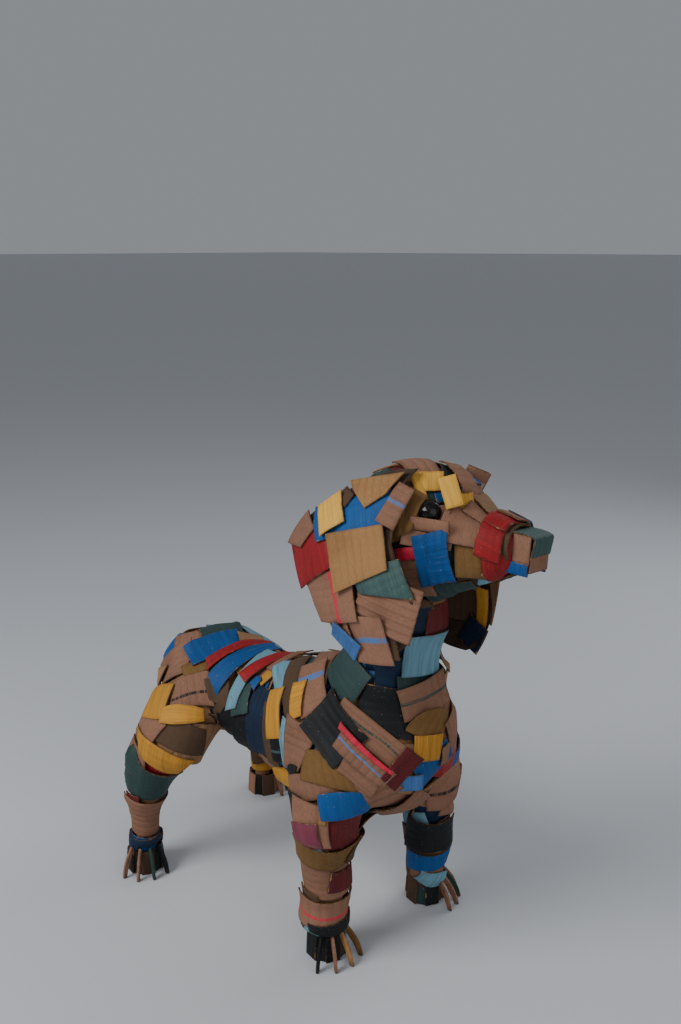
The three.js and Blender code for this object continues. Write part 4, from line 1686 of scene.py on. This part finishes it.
def fan_tree():
    """The node tree that fans one claw out round a hub, made once."""
    name = "claw_fan"
    if name in bpy.data.node_groups:
        return bpy.data.node_groups[name]
    tree = bpy.data.node_groups.new(name, "GeometryNodeTree")
    face = tree.interface
    for label, kind in (
        ("Geometry", "NodeSocketGeometry"), ("Claw", "NodeSocketObject"), ("Count", "NodeSocketInt"),
        ("First", "NodeSocketFloat"), ("Step", "NodeSocketFloat"), ("Place", "NodeSocketVector"),
        ("Finish", "NodeSocketMaterial"),
    ):
        face.new_socket(name=label, in_out="INPUT", socket_type=kind)
    face.new_socket(name="Geometry", in_out="OUTPUT", socket_type="NodeSocketGeometry")
    nodes, link = tree.nodes, tree.links.new
    given, out = nodes.new("NodeGroupInput"), nodes.new("NodeGroupOutput")
    row = nodes.new("GeometryNodeMeshLine")
    link(given.outputs["Count"], row.inputs["Count"])
    row.inputs["Offset"].default_value = (0, 0, 0)
    index = nodes.new("GeometryNodeInputIndex")
    turn = nodes.new("ShaderNodeMath")
    turn.operation = "MULTIPLY_ADD"
    link(index.outputs[0], turn.inputs[0])
    link(given.outputs["Step"], turn.inputs[1])
    link(given.outputs["First"], turn.inputs[2])
    angles = nodes.new("ShaderNodeCombineXYZ")
    link(turn.outputs[0], angles.inputs["Z"])
    claw = nodes.new("GeometryNodeObjectInfo")
    link(given.outputs["Claw"], claw.inputs["Object"])
    claw.inputs["As Instance"].default_value = True
    put = nodes.new("GeometryNodeInstanceOnPoints")
    link(row.outputs["Mesh"], put.inputs["Points"])
    link(claw.outputs["Geometry"], put.inputs["Instance"])
    link(angles.outputs[0], put.inputs["Rotation"])
    keep = nodes.new("GeometryNodeStoreNamedAttribute")
    keep.data_type = "FLOAT"
    keep.domain = "INSTANCE"
    keep.inputs["Name"].default_value = "claw"
    link(put.outputs["Instances"], keep.inputs["Geometry"])
    link(index.outputs[0], keep.inputs["Value"])
    real = nodes.new("GeometryNodeRealizeInstances")
    link(keep.outputs["Geometry"], real.inputs["Geometry"])
    move = nodes.new("GeometryNodeTransform")
    link(real.outputs["Geometry"], move.inputs["Geometry"])
    link(given.outputs["Place"], move.inputs["Translation"])
    coat = nodes.new("GeometryNodeSetMaterial")
    link(move.outputs["Geometry"], coat.inputs["Geometry"])
    link(given.outputs["Finish"], coat.inputs["Material"])
    link(coat.outputs["Geometry"], out.inputs["Geometry"])
    return tree


# The floor's half width in metres, and the camera. Each lamp: place, width in metres and power.
FLOOR_HALF_M = 60
AIM = (40, 0, 190)
LAMPS = {
    "key": ((-350, -1150, 1150), 0.9, 18),
    "fill": ((1300, -500, 700), 1.4, 5),
    "rim": ((200, 1200, 900), 0.9, 4.5),
}
SKY_COLOUR, SKY_STRENGTH = (0.86, 0.9, 0.96, 1), 0.3
CAMERA_PLACE = (576, -567, 560)
CAMERA_HEADING, CAMERA_PITCH = math.radians(132), math.radians(15)
LENS, SENSOR = 35, 36


class HOUND_OT_stage(bpy.types.Operator):
    """Sets the floor, lights and camera"""

    bl_idname = "hound.stage"
    bl_label = "Stage"

    def execute(self, context):
        scene = context.scene
        floor = bpy.data.meshes.new("floor")
        corners = [(x * FLOOR_HALF_M, y * FLOOR_HALF_M, 0) for x, y in AROUND]
        floor.from_pydata(corners, [], [(0, 1, 2, 3)])
        plain = Finish("plain_floor")
        floor.materials.append(plain.surface(Base_Color=(0.55, 0.57, 0.6, 1), Roughness=0.7))
        linked("floor", floor)
        world = scene.world or bpy.data.worlds.new("studio")
        scene.world = world
        world.use_nodes = True
        sky = world.node_tree.nodes["Background"]
        sky.inputs["Color"].default_value = SKY_COLOUR
        sky.inputs["Strength"].default_value = SKY_STRENGTH
        for name, (place, size, power) in LAMPS.items():
            self.lamp(name, to_frame(place), size, power)
        self.camera(scene)
        return {"FINISHED"}

    def lamp(self, name, place, size, power):
        data = bpy.data.lights.new(name, "AREA")
        data.shape = "DISK"
        data.size = size
        data.energy = power
        lamp = linked(name, data)
        lamp.location = place
        lamp.rotation_euler = (to_frame(AIM) - lamp.location).to_track_quat("-Z", "Y").to_euler()

    def camera(self, scene):
        data = bpy.data.cameras.new("camera")
        data.lens = LENS
        data.sensor_width = SENSOR
        camera = linked("camera", data)
        camera.location = to_frame(CAMERA_PLACE)
        level = math.cos(CAMERA_PITCH)
        east, north = math.cos(CAMERA_HEADING) * level, math.sin(CAMERA_HEADING) * level
        ahead = Vector((east, north, -math.sin(CAMERA_PITCH)))
        camera.rotation_euler = ahead.to_track_quat("-Z", "Y").to_euler()
        scene.camera = camera


class HOUND_PT_panel(bpy.types.Panel):
    """The hound's sizes, colours and steps"""

    bl_label = "Cardboard Hound"
    bl_idname = "HOUND_PT_panel"
    bl_space_type = "VIEW_3D"
    bl_region_type = "UI"
    bl_category = "Hound"

    def draw(self, context):
        layout = self.layout
        for group in (context.scene.hound_sizes, context.scene.hound_colours):
            box = layout.box()
            for key in group.__annotations__:
                box.prop(group, key)
        for step in STEPS:
            layout.operator(step.bl_idname)


STEPS = (HOUND_OT_core, HOUND_OT_boards, HOUND_OT_ears, HOUND_OT_face, HOUND_OT_claws, HOUND_OT_stage)
CLASSES = (HoundSizes, HoundColours, *STEPS, HOUND_PT_panel)


def register():
    for cls in CLASSES:
        bpy.utils.register_class(cls)
    bpy.types.Scene.hound_sizes = PointerProperty(type=HoundSizes)
    bpy.types.Scene.hound_colours = PointerProperty(type=HoundColours)


def unregister():
    del bpy.types.Scene.hound_colours
    del bpy.types.Scene.hound_sizes
    for cls in reversed(CLASSES):
        bpy.utils.unregister_class(cls)


def main():
    register()
    for step in STEPS:
        area, name = step.bl_idname.split(".")
        getattr(getattr(bpy.ops, area), name)()


if __name__ == "__main__":
    main()
